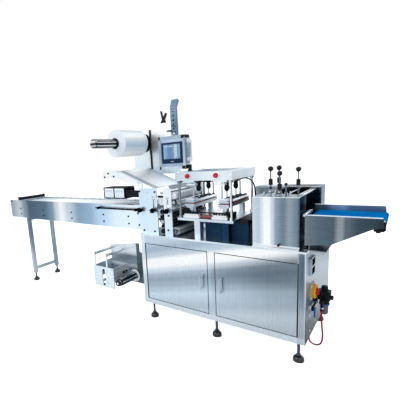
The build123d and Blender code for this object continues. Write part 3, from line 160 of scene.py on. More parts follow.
def parts_of(tree, output="Object"):
    """the three numbers of the piece's own place, or of the way its surface faces"""
    return node(tree, "ShaderNodeSeparateXYZ",
                {"Vector": node(tree, "ShaderNodeTexCoord").outputs[output]}).outputs


def math_of(tree, operation, *values, clamp=False):
    return node(tree, "ShaderNodeMath", dict(enumerate(values)), operation=operation,
                use_clamp=clamp).outputs[0]


def above(tree, value, limit):
    return math_of(tree, "GREATER_THAN", value, limit)


def below(tree, value, limit):
    return math_of(tree, "LESS_THAN", value, limit)


def product(tree, first, second):
    return math_of(tree, "MULTIPLY", first, second)


def faces_along(tree, axis):
    """1 where the surface faces along an axis, 0 where it doesn't"""
    return above(tree, math_of(tree, "ABSOLUTE", parts_of(tree, "Normal")[axis]), FACING)


def noise(tree, scale, detail, rough):
    return node(tree, "ShaderNodeTexNoise", {"Vector": place(tree, scale), "Scale": 1.0, "Detail": detail,
                                             "Roughness": rough}).outputs["Fac"]


def spread(tree, value, low, high, start=0.0, end=1.0):
    """a value moved from one range to another"""
    return node(tree, "ShaderNodeMapRange", {"Value": value, "From Min": start, "From Max": end,
                                             "To Min": low, "To Max": high}).outputs[0]


def blend(tree, share, first, second, kind="MIX"):
    """two colours mixed by a share"""
    return node(tree, "ShaderNodeMix", {0: share, 6: first, 7: second}, data_type="RGBA",
                blend_type=kind).outputs[2]


def soften(tree, share, colour, pattern):
    """a colour with a pattern laid over it softly"""
    return blend(tree, share, colour, pattern, "SOFT_LIGHT")


def tones_along(tree, value, tones):
    """a ramp through tones, each a place from 0 to 1 and its red, green and blue"""
    ramp = node(tree, "ShaderNodeValToRGB", {"Fac": value})
    ramp.color_ramp.interpolation = "EASE"
    stops = ramp.color_ramp.elements
    for index, (position, *shown) in enumerate((tones[0], tones[-1])):
        stops[index].position, stops[index].color = position, tone(*shown)
    for position, *shown in tones[1:-1]:
        stops.new(position).color = tone(*shown)
    return ramp.outputs["Color"]


def relief(tree, shader, height, strength, distance):
    bump = node(tree, "ShaderNodeBump", {"Height": height, "Strength": strength, "Distance": distance})
    tree.links.new(bump.outputs[0], shader.inputs["Normal"])


def brushed(name, colour_of, grain=(5.0, 5.0, 520.0), hair=0.2, roughness=0.27, metallic=1.0):
    """steel with fine hairlines, its colour built by a function of the tree"""
    tree, shader = new_finish(name)
    lines = noise(tree, grain, 4.0, 0.7)
    smudge = noise(tree, (6.0, 6.0, 6.0), 3.0, 0.6)
    fill(tree, shader, {
        "Base Color": soften(tree, 0.08, soften(tree, hair, colour_of(tree), lines), smudge),
        "Roughness": spread(tree, lines, roughness - 0.07, roughness + 0.09), "Metallic": metallic})
    relief(tree, shader, lines, 0.12, 0.0005)
    return shader


def sheen_bands(dark, light, scale=(1.9, 1.9, 0.25)):
    """broad soft bands between two colours: a painted sheen standing in for smeared reflections"""
    def colour_of(tree):
        return blend(tree, spread(tree, noise(tree, scale, 1.0, 0.4), 0.0, 1.0, 0.33, 0.67), dark, light)
    return colour_of


def run_of_tones(tones, x=1.0, y=0.0, z=0.0):
    """tones along a line through the machine, each given with its place in metres; the finishes mostly use
    such runs to paint bands of reflection and shade
    """
    def colour_of(tree):
        spot = parts_of(tree)
        along = product(tree, spot["X"], x)
        along = math_of(tree, "MULTIPLY_ADD", spot["Y"], y, along)
        along = math_of(tree, "MULTIPLY_ADD", spot["Z"], z, along)
        start, end = tones[0][0], tones[-1][0]
        stops = [((at - start) / (end - start), *shown) for at, *shown in tones]
        return tones_along(tree, spread(tree, along, 0.0, 1.0, start, end), stops)
    return colour_of


def up_the_machine(*tones):
    return run_of_tones(tones, 0.0, 0.0, 1.0)


def by_facing(axis, facing, others):
    """one colour on the faces along an axis and another on the rest, so that sides get their own painted
    light and shade
    """
    def colour_of(tree):
        return blend(tree, faces_along(tree, axis), others(tree), facing(tree))
    return colour_of


def plain(name, colour, roughness, metallic=0.0, grain=900.0, bump=0.12, vary=0.12, coat=0.0, shine=0.5):
    """a moulded, painted or polished finish with a fine grain and slight wear"""
    tree, shader = new_finish(name)
    fine = noise(tree, (grain, grain, grain), 2.0, 0.6)
    worn = noise(tree, (14.0, 14.0, 14.0), 4.0, 0.65)
    fill(tree, shader, {
        "Base Color": soften(tree, vary, colour, worn), "Metallic": metallic,
        "Roughness": spread(tree, worn, roughness - 0.06, roughness + 0.08),
        "Coat Weight": coat, "Coat Roughness": 0.12, "Specular IOR Level": shine})
    relief(tree, shader, fine, bump, 0.0003)


def woven_belt(name, colour_of, wear):
    """a belt with a fine cross weave"""
    tree, shader = new_finish(name)
    waves = [node(tree, "ShaderNodeTexWave", {"Vector": place(tree, (1, 1, 1)), "Scale": 90.0,
                                              "Distortion": 0.4}, bands_direction=way).outputs["Fac"]
             for way in "XY"]
    weave = product(tree, *waves)
    streak = noise(tree, (1.6, 26.0, 1.6), 3.0, 0.6)
    fill(tree, shader, {
        "Base Color": soften(tree, 0.08, soften(tree, 0.22, colour_of(tree), streak), weave),
        "Roughness": spread(tree, streak, wear - 0.08, wear + 0.1), "Specular IOR Level": 0.0})
    relief(tree, shader, weave, 0.25, 0.0004)


def film_roll_finish(name, end_colour):
    """wound film: painted bands of light and shade round the roll and fine rings on its ends"""
    tree, shader = new_finish(name)
    low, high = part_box("film_roll")
    middle = (low + high) / 2
    radius = (high.z - low.z) / 2
    level = spread(tree, parts_of(tree)["Z"], 0.0, 1.0, middle.z - radius, middle.z + radius)
    round_light_and_shade = tones_along(tree, level, (
        (0.0, 246, 249, 251), (0.14, 250, 252, 253), (0.26, 216, 228, 238), (0.39, 184, 202, 218),
        (0.5, 196, 212, 226), (0.61, 222, 233, 242), (0.74, 252, 254, 255), (0.86, 224, 234, 242),
        (0.93, 190, 204, 216), (1.0, 206, 216, 224)))
    where = place(tree, (1, 1, 1), (-middle.x, -middle.y, -middle.z))
    split = node(tree, "ShaderNodeSeparateXYZ", {"Vector": where})
    flat = node(tree, "ShaderNodeCombineXYZ", {"X": split.outputs["X"], "Z": split.outputs["Z"]})
    reach = node(tree, "ShaderNodeVectorMath", {0: flat.outputs[0]}, operation="LENGTH").outputs["Value"]
    rings = node(tree, "ShaderNodeTexNoise", {"W": spread(tree, reach, 0.0, 420.0), "Scale": 1.0,
                                              "Detail": 3.0}, noise_dimensions="1D").outputs["Fac"]
    wound = noise(tree, (3.0, 60.0, 3.0), 3.0, 0.6)
    ends = soften(tree, 0.25, end_colour, rings)
    fill(tree, shader, {
        "Base Color": soften(tree, 0.06, blend(tree, faces_along(tree, "Y"), round_light_and_shade, ends), wound),
        "Roughness": spread(tree, wound, 0.3, 0.4), "Coat Weight": 0.25, "Coat Roughness": 0.2})
    relief(tree, shader, wound, 0.03, 0.0002)


# Steels between two tones of painted sheen bands: dark, light, size of the bands, grain, hairlines,
# roughness, metallic
STEELS = {
    "worktop_steel": ((204, 216, 226), (242, 247, 251), (2.6, 2.6, 2.6), (4.0, 420.0, 4.0), 0.12, 0.24, 1.0),
    "aluminium": ((176, 190, 202), (224, 232, 238), (3.0, 3.0, 3.0), (420.0, 5.0, 420.0), 0.12, 0.36, 1.0),
    "aluminium_bright": ((204, 218, 230), (240, 246, 250), (3.0, 3.0, 3.0), (5.0, 420.0, 420.0),
                         0.1, 0.33, 1.0),
    "panel_alloy": ((146, 166, 182), (206, 219, 229), (9.0, 9.0, 3.0), (5.0, 5.0, 420.0), 0.1, 0.3, 1.0),
    "lever_steel": ((96, 108, 120), (150, 160, 170), (30.0, 30.0, 12.0), (60.0, 60.0, 60.0), 0.06, 0.2, 1.0),
    "stand_steel": ((116, 132, 148), (186, 198, 208), (3.0, 3.0, 2.0), (300.0, 300.0, 5.0), 0.12, 0.3, 1.0),
    "arm_plate": ((226, 238, 246), (252, 254, 255), (3.0, 3.0, 3.0), (4.0, 4.0, 500.0), 0.06, 0.32, 0.7),
    "post_steel": ((92, 116, 138), (140, 162, 180), (2.0, 2.0, 4.0), (420.0, 420.0, 5.0), 0.2, 0.35, 1.0),
    "chrome": ((190, 200, 208), (246, 249, 252), (24.0, 24.0, 3.0), (60.0, 60.0, 60.0), 0.06, 0.12, 1.0),
    "satin_roller": ((118, 130, 142), (206, 216, 224), (30.0, 1.5, 30.0), (8.0, 300.0, 8.0), 0.16, 0.22, 1.0),
    "idler_steel": ((148, 160, 170), (216, 224, 230), (22.0, 1.2, 22.0), (8.0, 300.0, 8.0), 0.12, 0.26, 1.0),
    "dark_steel": ((58, 66, 74), (96, 106, 116), (4.0, 4.0, 4.0), (5.0, 5.0, 320.0), 0.2, 0.34, 1.0),
}

# Plain finishes: colour, roughness and what differs from the usual
PAINTS = {
    "black_gloss": ((8, 12, 17), 0.2, dict(bump=0.03, shine=0.28)),
    "black_rubber": ((12, 17, 22), 0.55, dict(grain=500.0, bump=0.3, vary=0.25, shine=0.12)),
    "black_steel": ((16, 23, 30), 0.42, dict(vary=0.2, shine=0.16)),
    "black_matt": ((8, 13, 18), 0.6, dict(vary=0.2, shine=0.0)),
    "foot_black": ((14, 20, 26), 0.16, dict(bump=0.03, coat=0.5)),
    "hose_black": ((10, 16, 22), 0.38, dict(grain=300.0, bump=0.15, shine=0.2)),
    "hose_red": ((140, 20, 34), 0.36, dict(grain=300.0, vary=0.25, shine=0.25)),
    "red_rubber": ((150, 34, 46), 0.6, dict(grain=600.0, bump=0.35, vary=0.3, shine=0.2)),
    "collar_yellow": ((206, 152, 14), 0.36, dict(bump=0.06, shine=0.3)),
    "blue_plastic": ((14, 78, 158), 0.36, dict(bump=0.06, shine=0.3)),
    "white_plastic": ((226, 230, 234), 0.36, dict(bump=0.06)),
    "white_roller": ((222, 229, 236), 0.26, dict(bump=0.06, coat=0.3)),
    "display_white": ((232, 240, 248), 0.2, dict(coat=0.4, bump=0.02, vary=0.05)),
    "display_blue": ((96, 132, 206), 0.3, dict(bump=0.02)),
    "display_grey": ((186, 208, 214), 0.3, dict(bump=0.02)),
    "bezel_navy": ((14, 44, 74), 0.26, dict(bump=0.03, shine=0.12)),
    "face_grey": ((158, 178, 202), 0.42, dict(metallic=0.3, bump=0.08)),
    "pipe_brown": ((118, 56, 44), 0.4, dict(bump=0.1, vary=0.3)),
}

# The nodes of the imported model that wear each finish
WORN_BY = {
    "aluminium": "left_door_latch right_door_latch lower_platens left_upper_platen right_upper_platen",
    "aluminium_bright": "sealing_top_frame",
    "arm_plate": "film_arms",
    "back_housing_steel": "back_housing",
    "base_aluminium": "sealing_base",
    "black_gloss": "lever_balls",
    "black_matt": "star_knobs cutter_rolls cutter_bed",
    "black_plastic": "conveyor_cross_bar seal_cylinders air_unit reel_flange control_box",
    "black_steel": "reel_clamps hmi_base hmi_arm",
    "blue_belt": "discharge_belt",
    "blue_plastic": "valve_handle",
    "bracket_steel": "lower_reel_bracket",
    "cabinet_steel": "cabinet_frame left_door right_door cabinet_panels",
    "chrome": "belt_rollers cutter_rods lower_reel_shaft",
    "clear_bowl": "air_bowl",
    "conveyor_plate": "conveyor_plates",
    "corner_posts": "sealing_posts",
    "cover_blue": "drive_cover",
    "cover_sheet": "film_cover",
    "discharge_steel": "discharge_plates",
    "film_roll": "film_roll",
    "foot_black": "levelling_feet",
    "hose_black": "seal_hose",
    "hose_red": "air_hose",
    "housing_steel": "front_housing",
    "idler_steel": "steel_rollers",
    "lever_steel": "pressure_levers",
    "pale_plate": "roller_unit_plates",
    "panel_alloy": "hmi_panel",
    "panel_sheet": "reel_panel",
    "post_steel": "reel_post",
    "red_plastic": "emergency_stops main_switch",
    "red_rubber": "seal_strips",
    "shaft_chrome": "reel_shaft",
    "socket_steel": "outlet_socket",
    "stand_steel": "conveyor_stand",
    "steel": "conveyor_bed",
    "unit_rubber": "rubber_rollers",
    "white_belt": "conveyor_belt",
    "white_roller": "film_rollers",
    "worktop_steel": "worktop",
    "yellow_plate": "switch_plate",
}


# Shapes: pieces are shaped in millimetres and brought to metres when they are finished

def add_block(bm, low, high, edge=0.0, segments=2):
    """a block between two corners, its edges rounded"""
    size = [top - bottom for bottom, top in zip(low, high)]
    middle = [(bottom + top) / 2 for bottom, top in zip(low, high)]
    made = bmesh.ops.create_cube(bm, size=1.0,
                                 matrix=Matrix.Translation(middle) @ Matrix.Diagonal((*size, 1.0)))
    if edge:
        edges = list({line for vert in made["verts"] for line in vert.link_edges})
        bmesh.ops.bevel(bm, geom=edges, offset=edge, affect="EDGES", segments=segments, profile=0.5,
                        material=-1, clamp_overlap=True)


def add_turned(bm, centre, axis, profile, steps=None):
    """a piece turned about a line, from pairs of radius and place along it"""
    line = Vector(axis).normalized()
    side = line.orthogonal().normalized()
    verts = [bm.verts.new(Vector(centre) + line * along + side * radius) for radius, along in profile]
    edges = [bm.edges.new(pair) for pair in zip(verts, verts[1:])]
    before = set(bm.verts) - set(verts)
    bmesh.ops.spin(bm, geom=verts + edges, cent=centre, axis=line, angle=2 * math.pi,
                   steps=steps or bpy.context.scene.packing_sizes.steps, use_merge=True)
    bmesh.ops.remove_doubles(bm, verts=[vert for vert in bm.verts if vert not in before], dist=0.001)


def disc(radius, height):
    return (0, 0), (radius, 0), (radius, height), (0, height)


def collar(inner, outer, height):
    return (inner, 0), (outer, 0), (outer, height), (inner, height), (inner, 0)


def add_bar(bm, start, end, radius, edge=0.6, steps=None):
    """a round bar with eased ends"""
    length = (Vector(end) - Vector(start)).length
    add_turned(bm, start, Vector(end) - Vector(start),
               ((0, 0), (radius - edge, 0), (radius, edge), (radius, length - edge),
                (radius - edge, length), (0, length)), steps)


def add_plate(bm, outline, thickness, edge=0.0):
    """a flat plate from the corners of one face, thickened"""
    face = bm.faces.new([bm.verts.new(corner) for corner in outline])
    face.normal_update()
    made = bmesh.ops.extrude_face_region(bm, geom=[face])
    moved = [item for item in made["geom"] if isinstance(item, bmesh.types.BMVert)]
    bmesh.ops.translate(bm, vec=Vector(thickness), verts=moved)
    if edge:
        verts = set(moved) | set(face.verts)
        lines = list({line for vert in verts for line in vert.link_edges})
        bmesh.ops.bevel(bm, geom=lines, offset=edge, affect="EDGES", segments=2, profile=0.5,
                        material=-1, clamp_overlap=True)


def add_blocks(bm, edge, *pairs):
    """blocks with the same edge, each between two corners"""
    for low, high in pairs:
        add_block(bm, low, high, edge)


def top_face(bm):
    return max(bm.faces, key=lambda face: (round(face.calc_center_median().z, 4), face.calc_area()))


def template(bm, name):
    mesh = bpy.data.meshes.new(name)
    bm.to_mesh(mesh)
    bm.free()
    return mesh


def socket_screw(radius, height):
    """a round screw head with a recess for a key"""
    bm = bmesh.new()
    bmesh.ops.create_cone(bm, cap_ends=True, segments=16, radius1=radius, radius2=radius, depth=height,
                          matrix=Matrix.Translation((0, 0, height / 2)))
    bmesh.ops.bevel(bm, geom=list(top_face(bm).edges), offset=height * 0.3, affect="EDGES", segments=2,
                    profile=0.5, material=-1)
    bmesh.ops.inset_region(bm, faces=[top_face(bm)], thickness=radius * 0.3)
    bmesh.ops.inset_region(bm, faces=[top_face(bm)], thickness=radius * 0.04, depth=-height * 0.55)
    return template(bm, "socket_screw")


def hex_bolt(radius, height):
    """a hexagon head on a washer, its corners eased"""
    bm = bmesh.new()
    bmesh.ops.create_cone(bm, cap_ends=True, segments=20, radius1=radius * 1.35, radius2=radius * 1.35,
                          depth=height * 0.3, matrix=Matrix.Translation((0, 0, height * 0.15)))
    bmesh.ops.create_cone(bm, cap_ends=True, segments=6, radius1=radius, radius2=radius, depth=height * 0.7,
                          matrix=Matrix.Translation((0, 0, height * 0.65)))
    bmesh.ops.bevel(bm, geom=list(top_face(bm).edges), offset=height * 0.12, affect="EDGES", segments=2,
                    profile=0.5, material=-1)
    return template(bm, "hex_bolt")


def add_copy(bm, shape, matrix):
    before = len(bm.verts)
    bm.from_mesh(shape)
    bm.verts.ensure_lookup_table()
    bmesh.ops.transform(bm, matrix=matrix, verts=bm.verts[before:])


def stamp(bm, shape, places, facing=UP):
    """copies of one shape, each at its place and facing outwards"""
    turn = Vector(facing).to_track_quat("Z", "Y").to_matrix().to_4x4()
    for spot in places:
        add_copy(bm, shape, Matrix.Translation(spot) @ turn)


def make_piece(bm, name, finish, body="machine"):
    """the finished piece, riding on its body"""
    bmesh.ops.scale(bm, vec=(MM, MM, MM), verts=bm.verts)
    bmesh.ops.recalc_face_normals(bm, faces=bm.faces)
    mesh = bpy.data.meshes.new(name)
    bm.to_mesh(mesh)
    bm.free()
    mesh.materials.append(FINISHES[finish])
    mesh.shade_smooth()
    mesh.set_sharp_from_angle(angle=SMOOTH_BELOW)
    piece = bpy.data.objects.new(name, mesh)
    bpy.context.scene.collection.objects.link(piece)
    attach(piece, body)


def single(name, finish, add, *shape, body="machine", slot=None):
    """a piece of one shape"""
    bm = bmesh.new()
    add(bm, *shape)
    make_piece(bm, name, finish, body)


def corners(name):
    """the lowest and highest corner of a node in millimetres"""
    low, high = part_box(name)
    return low / MM, high / MM


class PACKING_OT_stage(bpy.types.Operator):
    """Adds the floor, the lamps, the background and the camera"""
    bl_idname = "packing.stage"
    bl_label = "Stage"

    def execute(self, context):
        sizes = context.scene.packing_sizes
        data = bpy.data.cameras.new("view")
        data.sensor_width = 36
        data.lens = sizes.lens
        data.shift_x = (PHOTO_PIXELS / 2 - VIEW_CENTRE[0]) / PHOTO_PIXELS
        data.shift_y = (VIEW_CENTRE[1] - PHOTO_PIXELS / 2) / PHOTO_PIXELS
        data.clip_end = 60
        camera = bpy.data.objects.new("view", data)
        context.scene.collection.objects.link(camera)
        around, pitch, roll = (Matrix.Rotation(math.radians(angle), 3, axis)
                               for angle, axis in zip(VIEW_TURN, "ZXY"))
        turn = around @ pitch @ roll
        side, ahead, upward = turn.col
        camera.matrix_world = Matrix.Translation(VIEW_PLACE) @ Matrix(
            (side, upward, -ahead)).transposed().to_4x4()
        context.scene.camera = camera

        bm = bmesh.new()
        bmesh.ops.create_grid(bm, x_segments=1, y_segments=1, size=20,
                              matrix=Matrix.Translation((0, 0, -0.001)))
        mesh = template(bm, "floor")
        floor = bpy.data.objects.new("floor", mesh)
        context.scene.collection.objects.link(floor)
        material = bpy.data.materials.new("studio_floor")
        material.use_nodes = True
        tree = material.node_tree
        tree.nodes.clear()
        seen = self.seen(tree)
        pale = node(tree, "ShaderNodeBsdfDiffuse", {"Color": (0.86, 0.87, 0.88, 1)})
        white = node(tree, "ShaderNodeEmission", {"Color": (1, 1, 1, 1), "Strength": 1.0})
        glow = node(tree, "ShaderNodeMixShader", {0: product(tree, seen, 0.74), 2: white.outputs[0]})
        mixed = node(tree, "ShaderNodeAddShader", {0: pale.outputs[0], 1: glow.outputs[0]})
        node(tree, "ShaderNodeOutputMaterial", {"Surface": mixed.outputs[0]})
        mesh.materials.append(material)

        world = bpy.data.worlds.new("studio")
        context.scene.world = world
        world.use_nodes = True
        tree = world.node_tree
        tree.nodes.clear()
        soft = node(tree, "ShaderNodeBackground", {"Color": (0.955, 0.98, 1.0, 1), "Strength": 0.9})
        clear = node(tree, "ShaderNodeBackground", {"Color": (1, 1, 1, 1), "Strength": 1.0})
        mixed = node(tree, "ShaderNodeMixShader", {0: self.seen(tree), 1: soft.outputs[0],
                                                   2: clear.outputs[0]})
        node(tree, "ShaderNodeOutputWorld", {"Surface": mixed.outputs[0]})

        for name, spot, size, power in (
                ("key", (-2.6, -4.6, 4.6), 4.0, 110), ("fill", (4.6, -3.4, 3.2), 3.0, 16),
                ("rear", (0.6, 4.6, 4.4), 4.0, 50)):
            lamp = bpy.data.lights.new(name, "AREA")
            lamp.size = size
            lamp.energy = power
            light = bpy.data.objects.new(name, lamp)
            light.location = spot
            light.rotation_mode = "QUATERNION"
            light.rotation_quaternion = (Vector((0, 0, 0.8)) - Vector(spot)).to_track_quat("-Z", "Y")
            context.scene.collection.objects.link(light)
        context.scene.view_settings.view_transform = "Standard"
        return {"FINISHED"}

    def seen(self, tree):
        """1 for a ray from the camera or through clear plastic"""
        path = node(tree, "ShaderNodeLightPath").outputs
        return math_of(tree, "ADD", path["Is Camera Ray"], path["Is Transmission Ray"], clamp=True)


class PACKING_OT_finishes(bpy.types.Operator):
    """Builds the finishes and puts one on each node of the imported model"""
    bl_idname = "packing.finishes"
    bl_label = "Finishes"

    def execute(self, context):
        colours = context.scene.packing_colours
        for name, (dark, light, bands, *more) in STEELS.items():
            brushed(name, sheen_bands(tone(*dark), tone(*light), bands), *more)
        for name, (shown, roughness, more) in PAINTS.items():
            plain(name, tone(*shown), roughness, **more)
        plain("black_plastic", tuple(colours.black), 0.42, shine=0.12)
        plain("red_plastic", tuple(colours.button_red), 0.3, coat=0.2, bump=0.05, shine=0.3)
        plain("cover_blue", tuple(colours.cover_blue), 0.5, vary=0.4, shine=0.08)
        film_roll_finish("film_roll", tuple(colours.film))
        # the blue belt's lighter bands are a painted sheen
        woven_belt("blue_belt", sheen_bands(tuple(colours.belt_blue), tone(16, 130, 192), (3.0, 6.0, 3.0)), 0.42)
        # the white belt is painted darker towards its left end, as shade
        woven_belt("white_belt", run_of_tones((
            (-1.78, 132, 148, 162), (-1.6, 150, 162, 172), (-1.4, 206, 216, 222), (-1.05, 246, 248, 249),
            (-0.6, 236, 241, 243), (0.2, 228, 234, 238))), 0.4)
        # the steel and the pale plates carry painted sheen bands
        brushed("steel", sheen_bands(tuple(colours.steel_dark), tuple(colours.steel_light)))
        brushed("pale_plate", sheen_bands(tuple(colours.plate_pale), tone(240, 247, 252), (2.2, 2.2, 2.2)),
                (4.0, 4.0, 600.0), 0.08, 0.32, 0.8)
        brushed("bracket_steel", by_facing("X", sheen_bands(tone(158, 172, 184), tone(206, 216, 224),
                (6.0, 3.0, 6.0)), self.bracket_light_and_shade), (5.0, 5.0, 260.0), 0.2, metallic=0.5)
        brushed("base_aluminium", self.base_colour, (5.0, 420.0, 420.0), 0.1, 0.33)
        shader = brushed("housing_steel", self.housing_painted_light, (6.0, 6.0, 240.0), 0.34)
        shader.inputs["Specular Tint"].default_value = (0.3, 0.36, 0.42, 1.0)
        shader = brushed("unit_rubber", self.roller_colour_and_highlights, (8.0, 240.0, 8.0), 0.25, 0.5, 0.0)
        shader.inputs["Specular IOR Level"].default_value = 0.1
        self.cabinet_finishes()
        self.sheet_finishes()
        self.switch_finish()
        self.screen_finish()
        self.bowl_finish()
        chosen = {part: finish for finish, parts in WORN_BY.items() for part in parts.split()}
        for name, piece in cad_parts.items():
            for slot in piece.material_slots:
                slot.material = FINISHES[chosen[name]]
        return {"FINISHED"}

    def sheet_finishes(self):
        """sheets, plates, shafts and posts with their own runs of painted reflection and shade"""
        # the back housing's face carries painted reflection bands and shade
        brushed("back_housing_steel", run_of_tones((
            (0.93, 206, 206, 212), (0.99, 150, 162, 172), (1.06, 190, 201, 210), (1.12, 160, 172, 186),
            (1.2, 40, 46, 54), (1.3, 18, 30, 40), (1.335, 24, 40, 52), (1.37, 60, 80, 98),
            (1.402, 112, 132, 150))), (6.0, 6.0, 330.0), 0.3)
        # painted reflection bands and shade on the front and back discharge plates
        front = run_of_tones((
            (1.415, 118, 128, 136), (1.45, 104, 116, 126), (1.5, 88, 106, 118), (1.56, 84, 98, 110),
            (1.588, 146, 154, 161), (1.6, 150, 157, 164), (1.62, 98, 111, 121), (1.68, 66, 81, 92),
            (1.73, 58, 75, 86), (1.785, 46, 60, 70)))
        back = run_of_tones((
            (1.415, 60, 74, 88), (1.47, 104, 116, 126), (1.53, 190, 198, 204), (1.57, 214, 220, 224),
            (1.62, 150, 160, 168), (1.785, 140, 150, 158)))
        brushed("discharge_steel", lambda tree: blend(
            tree, above(tree, parts_of(tree)["Y"], -0.05), front(tree), back(tree)), (6.0, 6.0, 300.0), 0.34)
        brushed("conveyor_plate", run_of_tones((
            (-1.792, 156, 173, 191), (-1.6, 206, 214, 220), (-1.49, 140, 156, 170), (-1.4, 78, 100, 120),
            (-1.115, 90, 115, 137), (-0.98, 132, 156, 174), (-0.9, 212, 222, 230), (-0.83, 252, 253, 254),
            (-0.7, 206, 217, 228), (-0.545, 144, 170, 194), (-0.41, 154, 182, 206), (-0.26, 190, 218, 240),
            (-0.04, 228, 244, 253), (0.12, 236, 248, 254), (0.25, 216, 238, 253), (0.4, 220, 239, 252))),
            (4.0, 4.0, 600.0), 0.1, 0.3)
        brushed("cover_sheet", run_of_tones((
            (-0.252, 242, 246, 249), (-0.238, 190, 200, 208), (-0.215, 150, 163, 173), (-0.19, 176, 187, 195),
            (-0.17, 240, 245, 248), (-0.08, 252, 253, 254), (0.06, 234, 241, 246), (0.13, 206, 216, 224),
            (0.18, 160, 171, 180)), 0.0, 1.0), (300.0, 4.0, 4.0), 0.1, 0.3, 0.55)
        # the reel panel is painted darker towards its foot, as shade
        brushed("panel_sheet", up_the_machine(
            (0.9, 196, 214, 228), (1.12, 214, 230, 242), (1.3, 236, 245, 251), (1.45, 250, 252, 253),
            (1.65, 253, 254, 254)), (4.0, 4.0, 500.0), 0.06, 0.34, 0.7)
        # painted reflection bands round the chrome shaft
        brushed("shaft_chrome", up_the_machine(
            (1.419, 24, 28, 34), (1.43, 110, 118, 126), (1.438, 236, 240, 244), (1.446, 70, 76, 84),
            (1.457, 18, 22, 28), (1.465, 220, 226, 232), (1.474, 252, 253, 254), (1.482, 90, 98, 108),
            (1.491, 36, 42, 50)), (60.0, 60.0, 60.0), 0.06, 0.12)
        brushed("corner_posts", run_of_tones((
            (0.55, 96, 106, 116), (0.568, 150, 160, 168), (0.6, 120, 130, 138), (0.94, 250, 251, 252),
            (0.966, 252, 253, 253), (0.978, 120, 132, 142))), (60.0, 60.0, 60.0), 0.06, 0.18)

    def housing_painted_light(self, tree):
        """painted bands of light round the front housing, a painted highlight at its foot and top edge, and a
        painted dark reflection on its side
        """
        front = run_of_tones((
            (1.12, 222, 230, 236), (1.14, 204, 217, 227), (1.165, 194, 210, 222), (1.185, 226, 234, 240),
            (1.2, 255, 255, 255), (1.226, 255, 255, 255), (1.242, 212, 222, 231), (1.27, 142, 158, 173),
            (1.306, 114, 133, 148), (1.342, 150, 162, 174), (1.378, 122, 140, 155), (1.4, 70, 86, 98)))
        # painted dark reflection along the right side
        side = run_of_tones(((-0.28, 30, 52, 64), (-0.25, 14, 30, 40), (-0.2, 22, 38, 50),
                             (-0.178, 44, 62, 74), (-0.165, 84, 98, 108), (-0.12, 100, 108, 114)), 0.0, 1.0)
        height = parts_of(tree)["Z"]
        # the foot and top edge, where a painted highlight is laid
        edge = math_of(tree, "ADD", below(tree, height, 0.742), above(tree, height, 1.0305), clamp=True)
        pale = blend(tree, product(tree, edge, 0.8), front(tree), tone(246, 248, 249))
        return blend(tree, faces_along(tree, "X"), pale, side(tree))

    def bracket_light_and_shade(self, tree):
        """the reel bracket's front plate is pale; its back sheet is pale above and grey below in painted
        bands of reflection and shade, and darker at its right end
        """
        spot = parts_of(tree)
        pale = run_of_tones(((-0.38, 222, 236, 247), (-0.12, 230, 242, 250)))
        # painted bands of reflection and shade up the back sheet
        sheet = up_the_machine((0.17, 110, 124, 136), (0.3, 134, 147, 158), (0.335, 232, 239, 244),
                               (0.36, 160, 172, 182), (0.42, 136, 149, 160), (0.463, 236, 243, 248),
                               (0.545, 236, 243, 248), (0.552, 150, 164, 175), (0.56, 120, 134, 146))
        dark = blend(tree, above(tree, spot["X"], -0.036), sheet(tree), tone(88, 104, 116))
        return blend(tree, above(tree, spot["Y"], -0.1), pale(tree), dark)

    def roller_colour_and_highlights(self, tree):
        """black rollers, and a big lower one with painted highlight bands up its face"""
        spot = parts_of(tree)
        big = product(tree, below(tree, spot["Z"], 0.794), above(tree, spot["X"], 0.5))
        # painted highlight bands up the big roller
        ground = up_the_machine((0.727, 70, 80, 88), (0.75, 150, 160, 168), (0.765, 96, 106, 114),
                                (0.78, 168, 176, 183), (0.793, 90, 100, 108))
        return blend(tree, big, tone(12, 17, 22), ground(tree))

    def base_colour(self, tree):
        """bright plate and column in painted sheen bands, and a right column painted in the shade of the
        drive cover
        """
        spot = parts_of(tree)
        column = product(tree, below(tree, spot["Z"], 0.8465), above(tree, spot["X"], 0.84))
        bright = sheen_bands(tone(204, 218, 230), tone(240, 246, 250), (3.0, 3.0, 3.0))
        return blend(tree, column, bright(tree), tone(30, 58, 84))

    def cabinet_finishes(self):
        """the cabinet's sheets: a painted slanting band of light in front, painted shade on the right door,
        paler left post and bottom rail, a painted reflection on the right stile, and plain painted light to
        shade on the sides
        """
        front = run_of_tones((
            (-0.06, 190, 200, 208), (0.05, 210, 221, 230), (0.11, 198, 211, 222), (0.165, 208, 225, 238),
            (0.205, 216, 233, 246), (0.245, 196, 213, 226), (0.29, 174, 190, 204), (0.33, 158, 175, 190),
            (0.37, 176, 191, 205), (0.405, 216, 226, 234), (0.445, 255, 255, 255), (0.49, 255, 255, 255),
            (0.53, 196, 209, 220), (0.58, 168, 186, 202), (0.65, 196, 212, 224)), -0.234, -0.194, 1.0)
        # painted reflection across the rounded right stile
        stile_reflection = run_of_tones(((1.394, 168, 184, 196), (1.404, 96, 114, 128), (1.424, 84, 100, 114),
                              (1.432, 150, 166, 178), (1.436, 244, 247, 250), (1.4395, 250, 251, 252)))
        side = run_of_tones(((0.14, 40, 50, 58), (0.2, 58, 68, 76), (0.27, 120, 132, 142),
                             (0.32, 158, 170, 180), (0.38, 172, 184, 194), (0.56, 178, 191, 202),
                             (0.6, 160, 175, 188), (0.65, 124, 140, 154), (0.7, 94, 110, 123),
                             (0.83, 76, 93, 106)), 0.0, 0.25, 1.0)

        def shaded(tree):
            spot = parts_of(tree)
